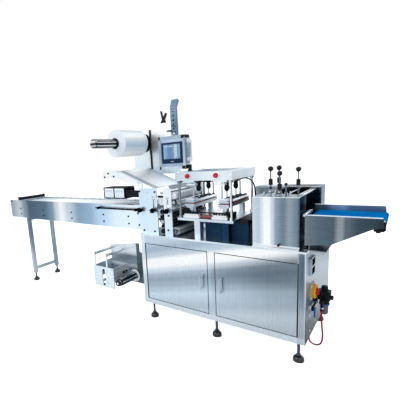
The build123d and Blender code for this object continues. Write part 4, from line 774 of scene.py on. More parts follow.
            # painted shade on the right door
            right = product(tree, spread(tree, spot["X"], 0.28, 0.62, 0.87, 1.2),
                            above(tree, spot["X"], 0.8395))
            high = spread(tree, spot["Z"], 0.0, 1.0, 0.24, 0.52)
            slant = math_of(tree, "SUBTRACT", spot["Z"], product(tree, spot["X"], 0.3))
            share = product(tree, product(tree, right, high), spread(tree, slant, 1.0, 0.0, 0.25, 0.32))
            doors = blend(tree, share, front(tree), tone(40, 52, 64))
            # paler left post and bottom rail
            edges = math_of(tree, "ADD", below(tree, spot["X"], 0.2635), below(tree, spot["Z"], 0.185),
                            clamp=True)
            doors = blend(tree, product(tree, edges, 0.6), doors, tone(238, 245, 251))
            at_stile = product(tree, above(tree, spot["X"], 1.3945),
                               spread(tree, spot["Z"], 0.25, 0.9, 0.36, 0.56))
            return blend(tree, at_stile, doors, stile_reflection(tree))

        brushed("cabinet_steel", by_facing("X", side, shaded), (110.0, 110.0, 1.4), 0.2)
        # the socket box wears the sides' painted light and shade
        brushed("socket_steel", side, (5.0, 5.0, 420.0), 0.1)

    def switch_finish(self):
        """the switch's plate: yellow in the middle and grey round it"""
        tree, shader = new_finish("yellow_plate")
        low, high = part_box("switch_plate")
        middle = (low + high) / 2
        spot = parts_of(tree)
        inside = 1.0
        for axis, centre, reach in (("Y", middle.y - 0.006, 0.034), ("Z", middle.z, 0.036)):
            away = math_of(tree, "ABSOLUTE", math_of(tree, "SUBTRACT", spot[axis], centre))
            inside = product(tree, inside, below(tree, away, reach))
        worn = noise(tree, (40.0, 40.0, 40.0), 3.0, 0.6)
        colour = blend(tree, inside, tone(150, 162, 172), tone(232, 180, 20))
        fill(tree, shader, {"Base Color": soften(tree, 0.1, colour, worn),
                            "Roughness": spread(tree, worn, 0.32, 0.46)})
        relief(tree, shader, worn, 0.05, 0.0003)

    def screen_finish(self):
        """a lit display with soft blocks of blue and a pale column"""
        tree, shader = new_finish("screen")
        left = (corners("hmi_panel")[0].x + 51) * MM
        across = spread(tree, parts_of(tree)["X"], 0.0, 1.0, left, left + 0.15)
        ground = tones_along(tree, across, (
            (0.0, 130, 162, 198), (0.35, 90, 124, 168), (0.58, 106, 138, 178), (0.66, 176, 184, 192),
            (0.78, 160, 172, 188), (0.86, 112, 142, 178), (1.0, 128, 158, 192)))
        blocks = noise(tree, (60.0, 60.0, 60.0), 1.0, 0.4)
        colour = soften(tree, 0.3, ground, blocks)
        fill(tree, shader, {"Base Color": colour, "Emission Color": colour, "Emission Strength": 0.06,
                            "Roughness": spread(tree, blocks, 0.1, 0.18)})
        relief(tree, shader, blocks, 0.02, 0.0002)

    def bowl_finish(self):
        """clear smoked plastic of the filter bowl"""
        tree, shader = new_finish("clear_bowl")
        scuff = noise(tree, (70.0, 70.0, 70.0), 4.0, 0.6)
        fill(tree, shader, {"Base Color": blend(tree, scuff, tone(40, 48, 56), tone(120, 132, 140)),
                            "Roughness": spread(tree, scuff, 0.04, 0.16), "Transmission Weight": 0.35,
                            "Coat Weight": 0.5, "IOR": 1.45})
        relief(tree, shader, scuff, 0.05, 0.0004)


class PACKING_OT_hoses(bpy.types.Operator):
    """Adds the black hose of the sealing unit and the red air hose"""
    bl_idname = "packing.hoses"
    bl_label = "Hoses"

    def execute(self, context):
        diameter = context.scene.packing_sizes.hose_diameter
        for name, route, finish, slot, length, lay in (
                ("sealing_hose", SEAL_ROUTE, "hose_black", "black_rubber", 0.325, "hanging"),
                ("supply_hose", AIR_ROUTE, "hose_red", "red_hose", 0.334, "hanging")):
            curve = bpy.data.curves.new(name, "CURVE")
            curve.dimensions = "3D"
            spline = curve.splines.new("NURBS")
            spline.points.add(len(route) - 1)
            for point, spot in zip(spline.points, route):
                point.co = (*spot, 1.0)
            spline.order_u = 3
            spline.use_endpoint_u = True
            spline.resolution_u = 12
            curve.resolution_u = 12
            curve.bevel_depth = diameter / 2
            curve.bevel_resolution = 5
            curve.use_fill_caps = True
            curve.materials.append(FINISHES[finish])
            piece = bpy.data.objects.new(name, curve)
            context.scene.collection.objects.link(piece)
            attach(piece, "machine")
            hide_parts("seal_hose" if name == "sealing_hose" else "air_hose")
        return {"FINISHED"}


class PACKING_OT_screws(bpy.types.Operator):
    """Adds the screws of the plates, housings and side sheets"""
    bl_idname = "packing.screws"
    bl_label = "Screws"

    def execute(self, context):
        sizes = context.scene.packing_sizes
        dark = socket_screw(sizes.screw_radius / MM, sizes.screw_height / MM)
        small = socket_screw(5.5, 4.0)
        head = hex_bolt(6.5, 7.0)
        front, back = corners("conveyor_plates")[0].y, corners("conveyor_plates")[1].y
        unit_back = corners("roller_unit_plates")[1].y

        bm = bmesh.new()
        ties = [(x, z) for x in (-1579, -1139, -666, -218, 80) for z in (790, 850)]
        others = [(217.5, 1059), (366, 1056), (192, 785), (185, 880), (241, 747), (346.5, 745), (485, 877),
                  (476, 765)]
        stamp(bm, dark, [(x, front, z) for x, z in ties + others], FRONT)
        stamp(bm, dark, [(x, back, z) for x, z in ties], BACK)
        housing = corners("front_housing")[0]
        stamp(bm, dark, [(1284, housing.y, housing.z + 22)], FRONT)
        arm = corners("film_arms")[0].y
        stamp(bm, dark, [(-121.6, arm, 1211), (-168, arm, 1180), (-60, arm, 1183)], FRONT)
        make_piece(bm, "plate_screws", "black_steel")

        bm = bmesh.new()
        stamp(bm, small, [(298, front, 1052), (237, front, 874), (342, front, 870)], FRONT)
        infeed, outfeed = ROLLERS_X
        rollers = [(infeed, z) for z in (748, 789, 826, 864, 901, 987, 1045)]
        rollers += [(outfeed, z) for z in (808, 841, 888, 975, 1026)] + [(535.5, 760), (outfeed, 934)]
        stamp(bm, head, [(x, unit_back, z) for x, z in rollers], BACK)
        make_piece(bm, "unit_screws", "chrome")

        bm = bmesh.new()
        high = corners("cabinet_panels")[1]
        stamp(bm, small, [(high.x, y, z) for y in (-192, -41) for z in (200, 300)], RIGHT)
        high = corners("discharge_plates")[1]
        stamp(bm, small, [(x, high.y, z) for x, z in ((1440, 912), (1440, 780), (1520, 790), (1620, 930),
                                                      (1762, 920))], BACK)
        make_piece(bm, "sheet_screws", "chrome")
        return {"FINISHED"}


class PACKING_OT_roller_unit(bpy.types.Operator):
    """Adds the slot washers, ties, end rings and groove rings of the roller unit"""
    bl_idname = "packing.roller_unit"
    bl_label = "Roller unit"

    def execute(self, context):
        front = corners("conveyor_plates")[0].y
        infeed, outfeed = ROLLERS_X
        bm = bmesh.new()
        for x in (350.5, 480.5):
            for z, inner, outer in ((1011, 8, 15), (970, 7, 11)):
                add_turned(bm, (x, front, z), FRONT, ((inner, 0), (outer, 0), (outer, 2.4), (outer - 1, 3.2),
                                                      (inner + 1, 3.2), (inner, 2.4), (inner, 0)))
        make_piece(bm, "slot_washers", "chrome")

        bm = bmesh.new()
        for x, z in ((infeed, 901), (infeed, 864), (outfeed, 888), (infeed, 748), (535.5, 760)):
            add_turned(bm, (x, -244, z), BACK, collar(8, 14, 6), 20)
        add_blocks(bm, 2, ((384, -243, 1012), (444, -231, 1028)), ((384, -243, 836), (444, -231, 852)))
        make_piece(bm, "unit_ties", "black_steel")

        bm = bmesh.new()
        for x, z, radius in ((outfeed, 975, 22), (infeed, 826, 20)):
            add_turned(bm, (x, -236.5, z), BACK, collar(radius - 6, radius + 1.2, 12))
        make_piece(bm, "roller_end_rings", "black_rubber")

        bm = bmesh.new()
        for z in (808, 841):
            for y in range(-226, 174, 20):
                add_turned(bm, (outfeed, y, z), BACK, ((10.5, 0), (13.4, 0.5), (13.4, 5.5), (10.5, 6)), 20)
        make_piece(bm, "roller_groove_rings", "satin_roller")
        return {"FINISHED"}


class PACKING_OT_conveyor(bpy.types.Operator):
    """Adds the belt guides, bearing caps and small stops of the long conveyor"""
    bl_idname = "packing.conveyor"
    bl_label = "Long conveyor"

    def execute(self, context):
        low, high = corners("conveyor_plates")
        bm = bmesh.new()
        for y1, y2 in ((low.y + 8, low.y + 26), (high.y - 26, high.y - 8)):
            add_block(bm, (-1600, y1, 936), (196, y2, 941), 1.0)
        add_blocks(bm, 0.6, ((-1600, low.y + 8, 934), (196, low.y + 11, 946.5)),
                   ((-1600, high.y - 11, 934), (196, high.y - 8, 946.5)))
        make_piece(bm, "belt_guides", "aluminium_bright")

        bm = bmesh.new()
        shape = socket_screw(4.5, 3.0)
        stamp(bm, shape, [(x, y, 941) for x in range(-1540, 190, 120) for y in (low.y + 18, high.y - 18)], UP)
        add_turned(bm, (-1747, high.y, 900), BACK,
                   ((0, 0), (24, 0), (24, 4), (21, 7), (9, 7), (8, 5), (0, 5)))
        add_block(bm, (-1791, low.y - 1.5, 927), (-1742, low.y + 2, 937), 1.2)
        add_block(bm, (-1607, low.y + 12, 949), (-1573, high.y - 12, 977), 3)
        add_block(bm, (64, low.y + 12, 941), (118, low.y + 30, 950), 4)
        make_piece(bm, "conveyor_caps", "black_plastic")
        return {"FINISHED"}


class PACKING_OT_reel(bpy.types.Operator):
    """Adds the upper reel's grips and core ring, its panel's bolts and its post's spots"""
    bl_idname = "packing.reel"
    bl_label = "Upper reel"

    def execute(self, context):
        low, high = corners("reel_shaft")
        x, z = (low.x + high.x) / 2, (low.z + high.z) / 2
        front = low.y
        roll = corners("film_roll")[0].y
        bm = bmesh.new()
        for strip in range(8):
            turn = math.radians(45 * strip + 12)
            shape = bmesh.new()
            add_block(shape, (-5.5, 14, -1.6), (5.5, 226, 1.6), 1.4)
            add_copy(bm, template(shape, "grip_strip"), Matrix.Translation((x, front, z))
                     @ Matrix.Rotation(turn, 4, "Y") @ Matrix.Translation((0, 0, 33.8)))
        add_turned(bm, (x, roll, z), FRONT, ((34.5, -2), (46, -2), (46, 6), (43, 9), (34.5, 9), (34.5, -2)))
        add_turned(bm, (x, front, z), BACK, ((34.2, 0), (35.4, 1), (35.4, 8), (34.2, 9)))
        add_turned(bm, (x, front, z), FRONT,
                   ((0, -1.4), (19, -1.4), (19, -0.2), (15, -0.2), (15, -0.9), (0, -0.9)))
        make_piece(bm, "shaft_grips", "black_gloss", "upper_reel")

        single("core_ring", "white_plastic", add_turned, (x, roll, z), FRONT,
               ((45, -7), (52, -7), (52, -0.4), (50, 0.6), (46, 0.6), (45, -0.4), (45, -7)),
               body="upper_reel", slot="film")

        bm = bmesh.new()
        shape = hex_bolt(6.5, 7)
        panel = corners("reel_panel")[0].y
        stamp(bm, shape, [(x + 60 * math.cos(math.radians(a)), panel, z + 60 * math.sin(math.radians(a)))
                          for a in (60, 120, 240, 300)], FRONT)
        stamp(bm, shape, [(x, panel, z) for x, z in ((-215, 1190), (-215, 1590), (235, 1190), (235, 1445))],
              FRONT)
        stamp(bm, shape, [(252, corners("reel_post")[0].y, 1514)], FRONT)
        make_piece(bm, "panel_bolts", "chrome")

        bm = bmesh.new()
        post = corners("reel_post")[0].y
        stamp(bm, socket_screw(6, 2.5), [(250, post, z) for z in (1556, 1592, 1628, 1664, 1700)], FRONT)
        make_piece(bm, "post_spots", "black_matt")
        return {"FINISHED"}


class PACKING_OT_operator_panel(bpy.types.Operator):
    """Adds the corner caps, side, face, bezel, display and bosses of the operator panel"""
    bl_idname = "packing.operator_panel"
    bl_label = "Operator panel"

    def execute(self, context):
        low, high = corners("hmi_panel")
        left, right = low.x, low.x + 242
        front, back = low.y, high.y
        bm = bmesh.new()
        for z1, z2 in ((low.z - 0.8, low.z + 27), (high.z - 27, high.z + 0.8)):
            add_block(bm, (left - 0.8, front - 0.8, z1), (left + 19, front + 24, z2), 4, 3)
            add_block(bm, (right - 34, front - 0.8, z1), (right + 0.8, back + 0.8, z2), 6, 3)
        make_piece(bm, "panel_caps", "black_plastic", "operator_panel")

        bezel_left, bezel_low = left + 27, low.z + 46

        def bezel_block(x1, z1, x2, z2, proud, back):
            return ((bezel_left + x1, front - proud, bezel_low + z1),
                    (bezel_left + x2, front - back, bezel_low + z2))

        for name, finish, shape in (
                ("panel_side", "post_steel", ((right - 1, front + 12, low.z + 40),
                                              (right + 1.2, back - 10, high.z - 40), 1)),
                ("panel_face", "face_grey", ((left + 24, front + 1.4, low.z + 24),
                                             (right - 24, front + 3.2, high.z - 24), 0.5)),
                ("panel_bezel", "bezel_navy", (*bezel_block(0, 0, 196, 162, 1.2, -1.8), 1.4)),
                ("panel_screen", "screen", (*bezel_block(20, 36, 172, 146, 1.6, 1.0), 0.2, 1))):
            single(name, finish, add_block, *shape, body="operator_panel")

        bm = bmesh.new()
        add_block(bm, *bezel_block(84, 14, 112, 18, 1.5, 1.0), 0.2, 1)
        for z in range(52, 144, 23):
            add_block(bm, *bezel_block(121, z, 146, z + 14, 1.9, 1.5), 0.2, 1)
        for x1, x2 in ((28, 62), (68, 110)):
            add_block(bm, *bezel_block(x1, 128, x2, 136, 1.9, 1.5), 0.2, 1)
        make_piece(bm, "screen_tiles", "display_grey", "operator_panel")

        bm = bmesh.new()
        for z in (low.z + 70, high.z - 50):
            add_turned(bm, (right, (front + back) / 2, z), RIGHT,
                       ((0, 0), (17, 0), (17, 10), (14, 14), (9, 15), (9, 20), (0, 20)))
            add_turned(bm, (right + 28, (front + back) / 2, z), UP,
                       ((7.4, -14), (10, -12), (10, 12), (7.4, 14)))
        make_piece(bm, "grip_bosses", "white_plastic", "operator_panel")
        return {"FINISHED"}


class PACKING_OT_control_box(bpy.types.Operator):
    """Adds the two displays of the temperature box"""
    bl_idname = "packing.control_box"
    bl_label = "Temperature box"

    def execute(self, context):
        low, high = corners("control_box")
        front = low.y + 3
        windows = ((low.x + 9, low.x + 119), (low.x + 128, low.x + 238))
        bm = bmesh.new()
        for x1, x2 in windows:
            add_block(bm, (x1 + 2, front - 1.6, low.z + 10), (x2 - 2, front + 0.5, high.z - 10), 1.2)
        make_piece(bm, "display_panels", "display_white")

        bm = bmesh.new()
        for x1, x2 in windows:
            for digit in range(4):
                x = x1 + 15 + digit * 22
                self.add_digit(bm, x, front - 2.0, high.z - 45, 13, 21)
        make_piece(bm, "display_digits", "display_blue")

        bm = bmesh.new()
        for x1, x2 in windows:
            for key in range(4):
                x = x1 + 13 + key * 23
                add_block(bm, (x, front - 2.4, low.z + 18), (x + 16, front - 1.4, low.z + 27), 0.8)
            add_block(bm, (x1 + 13, front - 2.2, low.z + 36), (x2 - 13, front - 1.4, low.z + 39), 0.3, 1)
        make_piece(bm, "display_keys", "display_grey")
        return {"FINISHED"}

    def add_digit(self, bm, x, y, z, width, height):
        """an eight made of bars, as a counter shows before it is set"""
        bar = 2.6
        middle = z + height / 2
        for level in (z, middle - bar / 2, z + height - bar):
            add_block(bm, (x + bar, y, level), (x + width - bar, y + 0.8, level + bar))
        for side in (x, x + width - bar):
            add_block(bm, (side, y, z + bar), (side + bar, y + 0.8, middle - bar / 2))
            add_block(bm, (side, y, middle + bar / 2), (side + bar, y + 0.8, z + height - bar))


class PACKING_OT_sealing_unit(bpy.types.Operator):
    """Adds the platens' nuts and ends, the fittings, terminal blocks, pipe and screws of the sealing unit"""
    bl_idname = "packing.sealing_unit"
    bl_label = "Sealing unit"

    def execute(self, context):
        nut = hex_bolt(8.5, 9)
        for side, rod in ROD_X.items():
            low, high = corners(side + "_upper_platen")
            x, top = (low.x + high.x) / 2, low.z + 20
            reach = (high.x - low.x) / 3 - 7
            rows = [low.y + 76 + step * 27 for step in range(11)]
            free = [y for y in rows if all(abs(y - spot) > 24 for spot in GUIDES_Y + CYLINDERS_Y)]
            spots = [(x + shift, y, top) for shift in (-reach, reach) for y in
                     (free if abs(x + shift - rod) < 10 else rows)]
            bm = bmesh.new()
            stamp(bm, nut, spots, UP)
            make_piece(bm, side + "_platen_nuts", "black_steel", side + "_press")

            bm = bmesh.new()
            for y in GUIDES_Y:
                add_turned(bm, (rod, y, top), UP, ((6.4, 0), (11, 0), (11, 6), (9, 8), (6.4, 8), (6.4, 0)))
            for y in CYLINDERS_Y:
                add_turned(bm, (rod, y, top), UP, ((5.4, 0), (12, 0), (12, 3), (9, 6), (5.4, 8)), 20)
            make_piece(bm, side + "_platen_collars", "black_plastic", side + "_press")

            bm = bmesh.new()
            add_block(bm, (low.x - 3, low.y + 1, top - 1), (high.x + 3, low.y + 54, top + 9), 2)
            make_piece(bm, side + "_platen_end", "aluminium_bright", side + "_press")

        bm = bmesh.new()
        for x in ROD_X.values():
            for y in CYLINDERS_Y:
                add_turned(bm, (x, y, 1148), UP, ((13, 0), (13, 6), (10, 8), (0, 8)))
                add_turned(bm, (x, y, 1116), DOWN, ((16.2, 0), (20, 0), (20, 9), (16.2, 9)), 6)
                add_turned(bm, (x, y, 1074), DOWN,
                           ((16.4, -8), (18.5, -6), (18.5, 4), (15, 18), (9, 24), (6.6, 26)), 24)
                add_bar(bm, (x + 10, y, 1108), (x + 24, y, 1108), 4)
        make_piece(bm, "cylinder_fittings", "black_plastic")

        bm = bmesh.new()
        for x, reach in ((648.5, 38), (907.5, 30)):
            for y in (-208, -150, 30, 110, 146):
                add_turned(bm, (x + reach - 10, y, 1122), DOWN, disc(7, 6), 6)
        for x in (596, 746, 790, 936):
            add_block(bm, (x - 9, -233, 1124), (x + 9, -214, 1136), 2)
        add_bar(bm, (600, -222, 1128), (960, -222, 1128), 4)
        add_blocks(bm, 3, ((950, -90, 1124), (972, -60, 1150)), ((950, -40, 1124), (972, -10, 1150)))
        for y in (-75, -25):
            add_turned(bm, (972, y, 1137), RIGHT, ((0, 0), (9, 0), (9, 6), (0, 7)), 20)
        make_piece(bm, "manifold", "black_plastic")

        bm = bmesh.new()
        for x1, x2 in ((638, 708), (850, 928)):
            add_block(bm, (x1, -228, 1101), (x2, -194, 1114), 2)
            for x in (x1 + 12, x2 - 12):
                add_bar(bm, (x, -211, 1113), (x, -211, 1136), 5)
        make_piece(bm, "guide_plates", "aluminium_bright")

        bm = bmesh.new()
        for x1, x2 in ((600, 726), (826, 942)):
            add_block(bm, (x1, -230, 865), (x2, -196, 884), 3)
            add_block(bm, (x1 + 8, -226, 884), (x2 - 8, -200, 895), 2)
        make_piece(bm, "terminal_blocks", "white_plastic")

        bm = bmesh.new()
        for x in (612, 632, 652, 672, 692, 712, 838, 858, 878, 898, 918, 932):
            tall = 30 if x in (652, 712, 932) else 16
            add_turned(bm, (x, -213, 894), UP, ((0, 0), (7, 0), (7, tall - 6), (5, tall), (0, tall)), 18)
        for x in (596, 630, 735, 800, 840, 958):
            add_turned(bm, (x, -205, 865), UP, disc(6, 34), 16)
        add_block(bm, (944, -228, 866), (952, -190, 920), 2)
        add_block(bm, (958, -196, 866), (975, -150, 915), 3)
        add_bar(bm, (600, -196, 905), (955, -196, 905), 5)
        make_piece(bm, "terminal_knobs", "black_plastic")

        bm = bmesh.new()
        add_bar(bm, (748, -214, 880), (824, -214, 880), 14, 3)
        add_turned(bm, (748, -214, 880), LEFT, disc(9, 8))
        make_piece(bm, "heater_pipe", "pipe_brown")

        bm = bmesh.new()
        for x in (816, 858, 913):
            add_turned(bm, (x, -222, 847), DOWN, ((0, 0), (9, 0), (9, 8), (6, 12), (0, 12)), 18)
        make_piece(bm, "base_feet", "black_plastic")

        bm = bmesh.new()
        for x in (653.5, 871.5):
            add_turned(bm, (x, -234, 1169), FRONT,
                       ((17.4, 0), (22, 0), (22, 2.5), (20, 4), (17.4, 4), (17.4, 0)))
        make_piece(bm, "stop_rings", "aluminium_bright")

        bm = bmesh.new()
        cap = socket_screw(6, 5)
        low, high = corners("sealing_top_frame")
        stamp(bm, cap, [(x, y, high.z) for x in (low.x + 20, high.x - 20)
                        for y in (low.y + 20, high.y - 20)], UP)
        stamp(bm, cap, [(low.x + 12, low.y, 1166), (high.x - 12, low.y, 1166)], FRONT)
        base = corners("sealing_base")[1]
        stamp(bm, cap, [(x, y, base.z) for x in (600, 930) for y in (-150, 100)], UP)
        make_piece(bm, "frame_screws", "chrome")
        return {"FINISHED"}


class PACKING_OT_cutter(bpy.types.Operator):
    """Adds the levers' nuts and sleeves, the cutter's beams and rail, the drive's end and a lip"""
    bl_idname = "packing.cutter"
    bl_label = "Cutter"

    def execute(self, context):
        low, high = corners("front_housing")
        top = high.z
        bm = bmesh.new()
        for x, y in LEVERS:
            add_turned(bm, (x, y, top), UP, ((0, 0), (20, 0), (20, 4), (14.5, 6), (14.2, 6)))
            add_turned(bm, (x, y, top + 16), UP, ((9.5, 0), (12, 0), (12, 6), (9.5, 8)), 6)
        for x, y, rise in ((1160, -150, 18), (1176, -215, 14), (1228, -145, 26), (1232, -200, 16),
                           (1290, -150, 30), (1316, -150, 20), (1330, -210, 10)):
            add_turned(bm, (x, y, top), UP,
                       ((0, 0), (8, 0), (8, rise * 0.5), (5, rise * 0.5), (5, rise), (0, rise)), 6)
        make_piece(bm, "lever_nuts", "chrome")

        bm = bmesh.new()
        for x, y in LEVERS:
            add_turned(bm, (x, y, top + 34), UP, ((5.4, 0), (7.5, 1), (7.5, 13), (5.4, 14)), 20)
        add_turned(bm, (1305, -140, top), UP, ((0, 0), (4, 0), (4, 34), (9, 38), (9, 46), (0, 50)), 20)
        for x in (1203.5, 1321.5):
            add_turned(bm, (x, 13, 945), UP, ((5.4, 0), (15, 0), (15, 12), (9, 22), (5.4, 22)), 20)
        make_piece(bm, "lever_sleeves", "black_plastic")

        bm = bmesh.new()
        add_blocks(bm, 2, ((1150, -118, 1008), (1200, 312, 1020)), ((1210, -112, 926), (1226, 306, 1014)),
                   ((1300, -112, 926), (1318, 306, 1008)), ((1296, -119, 1002), (1384, 314, 1010)))
        make_piece(bm, "cutter_beams", "black_matt")

        single("cutter_rails", "aluminium_bright", add_plate,
               ((1352, -118, 1012), (1366, -118, 1012), (1366, 312, 1012), (1352, 312, 1012)), (0, 0, 9), 1.5)

        bm = bmesh.new()
        add_block(bm, (1062, -150, 723), (1119, 60, 838), 4)
        add_block(bm, (992, -150, 857), (1118, 140, 864), 2)
        add_block(bm, (1000, -170, 838), (1060, -152, 858), 3)
        make_piece(bm, "drive_end", "black_steel")

        low, high = corners("back_housing")
        single("back_housing_lip", "aluminium_bright", add_block,
               (low.x + 4, low.y - 0.6, high.z - 12), (high.x - 4, low.y + 1, high.z - 4), 0.5)
        return {"FINISHED"}


class PACKING_OT_discharge(bpy.types.Operator):
    """Adds the lips, bearing cap and corner blocks of the discharge conveyor"""
    bl_idname = "packing.discharge"
    bl_label = "Discharge conveyor"

    def execute(self, context):
        low, high = corners("discharge_plates")
        bm = bmesh.new()
        add_block(bm, (1422, low.y - 0.5, 930), (1776, low.y + 11, 935), 1)
        add_block(bm, (1422, high.y - 11, high.z - 3), (1776, high.y, high.z + 1), 1)
        add_block(bm, (1403, low.y + 12, 920), (1424, -60, 934), 2)
        make_piece(bm, "discharge_lips", "aluminium_bright")

        bm = bmesh.new()
        add_turned(bm, (1460.5, high.y, 896), BACK,
                   ((0, 0), (17, 0), (17, 3), (14, 6), (6, 6), (5, 4), (0, 4)))
        add_block(bm, (1738, low.y + 1, 862), (1784, low.y + 60, 876), 3)
        add_block(bm, (1748, low.y + 4, 855), (1768, low.y + 40, 863), 2)
        add_block(bm, (1764, low.y + 1, 868), (1790, low.y + 10, 912), 3)
        make_piece(bm, "discharge_caps", "black_plastic")
        return {"FINISHED"}


class PACKING_OT_side_fittings(bpy.types.Operator):
    """Adds the socket's faces, the gauge, the bowl's fittings, the valve's nuts and the switch's collar"""
    bl_idname = "packing.side_fittings"
    bl_label = "Side fittings"

    def execute(self, context):
        low, high = corners("outlet_socket")
        y = (low.y + high.y) / 2
        bm = bmesh.new()
        for z in (low.z + 26, high.z - 26):
            add_block(bm, (high.x - 2, low.y + 14, z - 21), (high.x + 2, high.y - 30, z + 19), 1.5)
            add_turned(bm, (high.x - 8, y, z), RIGHT, ((0, 0), (15, 0), (15, 1.5), (13, 2.5), (0, 2.5)), 24)
            for shift in (-6, 6):
                add_turned(bm, (high.x - 5.4, y + shift, z), RIGHT, disc(2.4, 0.6), 12)
            add_block(bm, (high.x - 8, low.y + 18, z + 13), (high.x - 2, high.y - 18, z + 17), 1)
        make_piece(bm, "socket_faces", "black_matt")

        x, y = BOWL_X, BOWL_Y
        single("gauge_dial", "display_white", add_turned, GAUGE, RIGHT,
               ((0, 0.3), (11.5, 0.3), (11.5, 0.6), (0, 0.6)), 28)
        bm = bmesh.new()
        add_turned(bm, GAUGE, RIGHT,
                   ((11.5, -4), (14.8, -4), (14.8, 0.6), (13, 1.6), (11.5, 1.2), (11.5, -4)), 28)
        add_block(bm, (1541.6, y - 0.8, 371), (1542.4, y + 0.8, 381))
        for angle in range(-120, 121, 30):
            a = math.radians(angle)
            ends = [(1541.9, y + reach * math.sin(a), GAUGE[2] + reach * math.cos(a)) for reach in (8, 10.5)]
            add_bar(bm, *ends, 0.35, 0.1, 8)
        for reach, step, low_end, top_end, radius in ((18, 20, 421, 439, 1.3), (27, 30, 330, 352, 1.5)):
            for angle in range(0, 360, step):
                a = math.radians(angle)
                rib = (x + reach * math.cos(a), y + reach * math.sin(a))
                add_bar(bm, (*rib, low_end), (*rib, top_end), radius, 0.4, 8)
        make_piece(bm, "gauge_rim", "black_plastic")

        bm = bmesh.new()
        add_turned(bm, (1495.5, -127, 330), UP, collar(7.4, 10.5, 8), 6)
        add_turned(bm, (1470, -167, 335), RIGHT, ((0, 0), (7, 0), (7, 3), (0, 3.4)), 6)
        add_turned(bm, (1439.5, -167, 335), RIGHT, ((14.4, 1), (19, 1), (19, 8), (14.4, 8), (14.4, 1)), 6)
        for start in (-150, -64):
            add_turned(bm, (1449.5, start, 335), BACK, collar(6.4, 10, 9), 6)
        make_piece(bm, "valve_nuts", "chrome")

        low, high = corners("main_switch")
        single("switch_collar", "collar_yellow", add_turned,
               (1445.5, (low.y + high.y) / 2, (low.z + high.z) / 2), RIGHT,
               ((29.5, 0), (45, 0), (45, 15), (41, 20), (29.5, 20), (29.5, 0)))

        bm = bmesh.new()
        add_turned(bm, (x, y, 320), UP,
                   ((24.6, 0), (29, 0), (30, 2), (30, 9), (29, 11), (24.6, 11), (24.6, 0)))
        add_turned(bm, (x, y, 400), UP, ((20, 0), (27.5, 0), (27.5, 5), (20, 5)))
        make_piece(bm, "bowl_band", "blue_plastic")

        single("bowl_catch", "red_plastic", add_block, (x - 13, y - 33, 276), (x + 1, y - 24.6, 318), 3)
        single("bowl_filter", "black_gloss", add_turned, (x, y, 256), UP,
               ((0, 0), (9, 0), (14, 6), (14, 40), (10, 60), (0, 60)))

        face = corners("switch_plate")[1].x
        single("switch_screws", "chrome", stamp, socket_screw(4, 3),
               [(face, y, z) for y in (-165, -89) for z in (399, 475)], RIGHT)
        return {"FINISHED"}


class PACKING_OT_lower_reel(bpy.types.Operator):
    """Adds the sleeve, grips, end cap, knobs, screws and idler collars of the lower reel"""
    bl_idname = "packing.lower_reel"
    bl_label = "Lower reel"

    def execute(self, context):
        low, high = corners("lower_reel_shaft")
        x, z = (low.x + high.x) / 2, (low.z + high.z) / 2
        bm = bmesh.new()
        add_turned(bm, (x, low.y, z), BACK, ((11, -1.6), (25.2, -1.6), (27, 0), (27, 14), (25.2, 15)))
        add_turned(bm, (x, low.y + 26, z), BACK,
                   ((25.2, 0), (31, 0), (33, 2), (33, 198), (31, 200), (25.2, 200)))
        make_piece(bm, "lower_sleeve", "black_gloss", "lower_reel")

        bm = bmesh.new()
        for strip in range(6):
            a = math.radians(60 * strip + 12)
            grip = (x + 32 * math.cos(a), z + 32 * math.sin(a))
            add_bar(bm, (grip[0], low.y + 34, grip[1]), (grip[0], low.y + 216, grip[1]), 4, 1.0, 10)
        make_piece(bm, "lower_grips", "chrome", "lower_reel")

        bm = bmesh.new()
        add_turned(bm, (x, low.y, z), FRONT, ((0, 0), (11, 0), (11, 1.8), (9, 2.6), (0, 2.6)))
        add_turned(bm, (x, -64, z), FRONT,
                   ((25.2, 0), (58, 0), (60, 2), (60, 5), (56, 8), (30, 9), (25.2, 9), (25.2, 0)))
        make_piece(bm, "lower_end_cap", "white_plastic", "lower_reel")

        bm = bmesh.new()
        front = corners("lower_reel_bracket")[0].y
        for spot in ((-246.5, 336), (-246.5, 205)):
            add_turned(bm, (spot[0], front, spot[1]), FRONT, ((0, 0), (11, 0), (11, 6), (8, 9), (0, 9)), 24)
        for y in (-160, -120):
            add_turned(bm, (-121, y, 300), RIGHT, ((0, 0), (12, 0), (12, 10), (9, 14), (0, 14)), 24)
        make_piece(bm, "lower_knobs", "black_gloss")

        single("lower_screws", "chrome", stamp, socket_screw(6, 4),
               [(a, front, b) for a, b in ((-364, 188), (-364, 355), (-134, 188), (-134, 355),
                                           (-349.5, 482), (-198.5, 482))], FRONT)

        bm = bmesh.new()
        for a in (-349.5, -198.5):
            for y in (-272, -80):
                add_turned(bm, (a, y, 482), BACK, collar(13.2, 17, 8), 24)
        make_piece(bm, "idler_collars", "white_plastic")
        return {"FINISHED"}


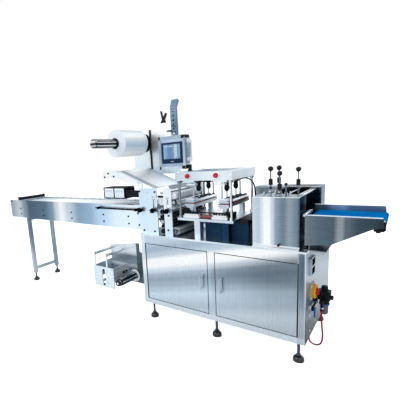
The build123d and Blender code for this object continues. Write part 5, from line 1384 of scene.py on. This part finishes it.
class PACKING_OT_feet(bpy.types.Operator):
    """Adds the threaded stems and nuts of the levelling feet"""
    bl_idname = "packing.feet"
    bl_label = "Feet"

    def execute(self, context):
        places = [(x, y, 145) for x in (271.5, 839.5, 1391.5) for y in (-227, 386)]
        places += [(-1467, y, 90) for y in (-232, 64)]
        bm = bmesh.new()
        for x, y, top in places:
            profile = [(8.1, 33)]
            turns = int((top - 12 - 34) / 3)
            for turn in range(turns):
                z = 34 + turn * 3
                profile += [(8.2, z), (9.0, z + 1.5)]
            profile += [(8.2, top - 12)]
            add_turned(bm, (x, y, 0), UP, profile, 20)
            add_turned(bm, (x, y, 36), UP,
                       ((9.0, 0), (14, 0), (15, 1), (15, 8), (14, 9), (9.0, 9), (9.0, 0)), 6)
        make_piece(bm, "foot_stems", "dark_steel")
        return {"FINISHED"}


class PACKING_PT_panel(bpy.types.Panel):
    """The machine's sizes and steps in the sidebar"""
    bl_idname = "PACKING_PT_panel"
    bl_label = "Packing machine"
    bl_space_type = "VIEW_3D"
    bl_region_type = "UI"
    bl_category = "Packing"

    def draw(self, context):
        for group in (context.scene.packing_sizes, context.scene.packing_colours):
            for name in group.bl_rna.properties.keys():
                if name not in ("rna_type", "name"):
                    self.layout.prop(group, name)
        for step in STEPS:
            self.layout.operator(step.bl_idname)


STEPS = (PACKING_OT_finishes, PACKING_OT_stage, PACKING_OT_hoses, PACKING_OT_screws, PACKING_OT_roller_unit,
         PACKING_OT_conveyor, PACKING_OT_reel, PACKING_OT_operator_panel, PACKING_OT_control_box,
         PACKING_OT_sealing_unit, PACKING_OT_cutter, PACKING_OT_discharge, PACKING_OT_side_fittings,
         PACKING_OT_lower_reel, PACKING_OT_feet)
CLASSES = (PackingSizes, PackingColours, *STEPS, PACKING_PT_panel)


def register():
    for kind in CLASSES:
        bpy.utils.register_class(kind)
    bpy.types.Scene.packing_sizes = PointerProperty(type=PackingSizes)
    bpy.types.Scene.packing_colours = PointerProperty(type=PackingColours)


def unregister():
    del bpy.types.Scene.packing_colours
    del bpy.types.Scene.packing_sizes
    for kind in reversed(CLASSES):
        bpy.utils.unregister_class(kind)


def main():
    """Builds the machine's looks, one step after the other"""
    register()
    for step in STEPS:
        group, name = step.bl_idname.split(".")
        getattr(getattr(bpy.ops, group), name)()


if __name__ == "__main__":
    main()
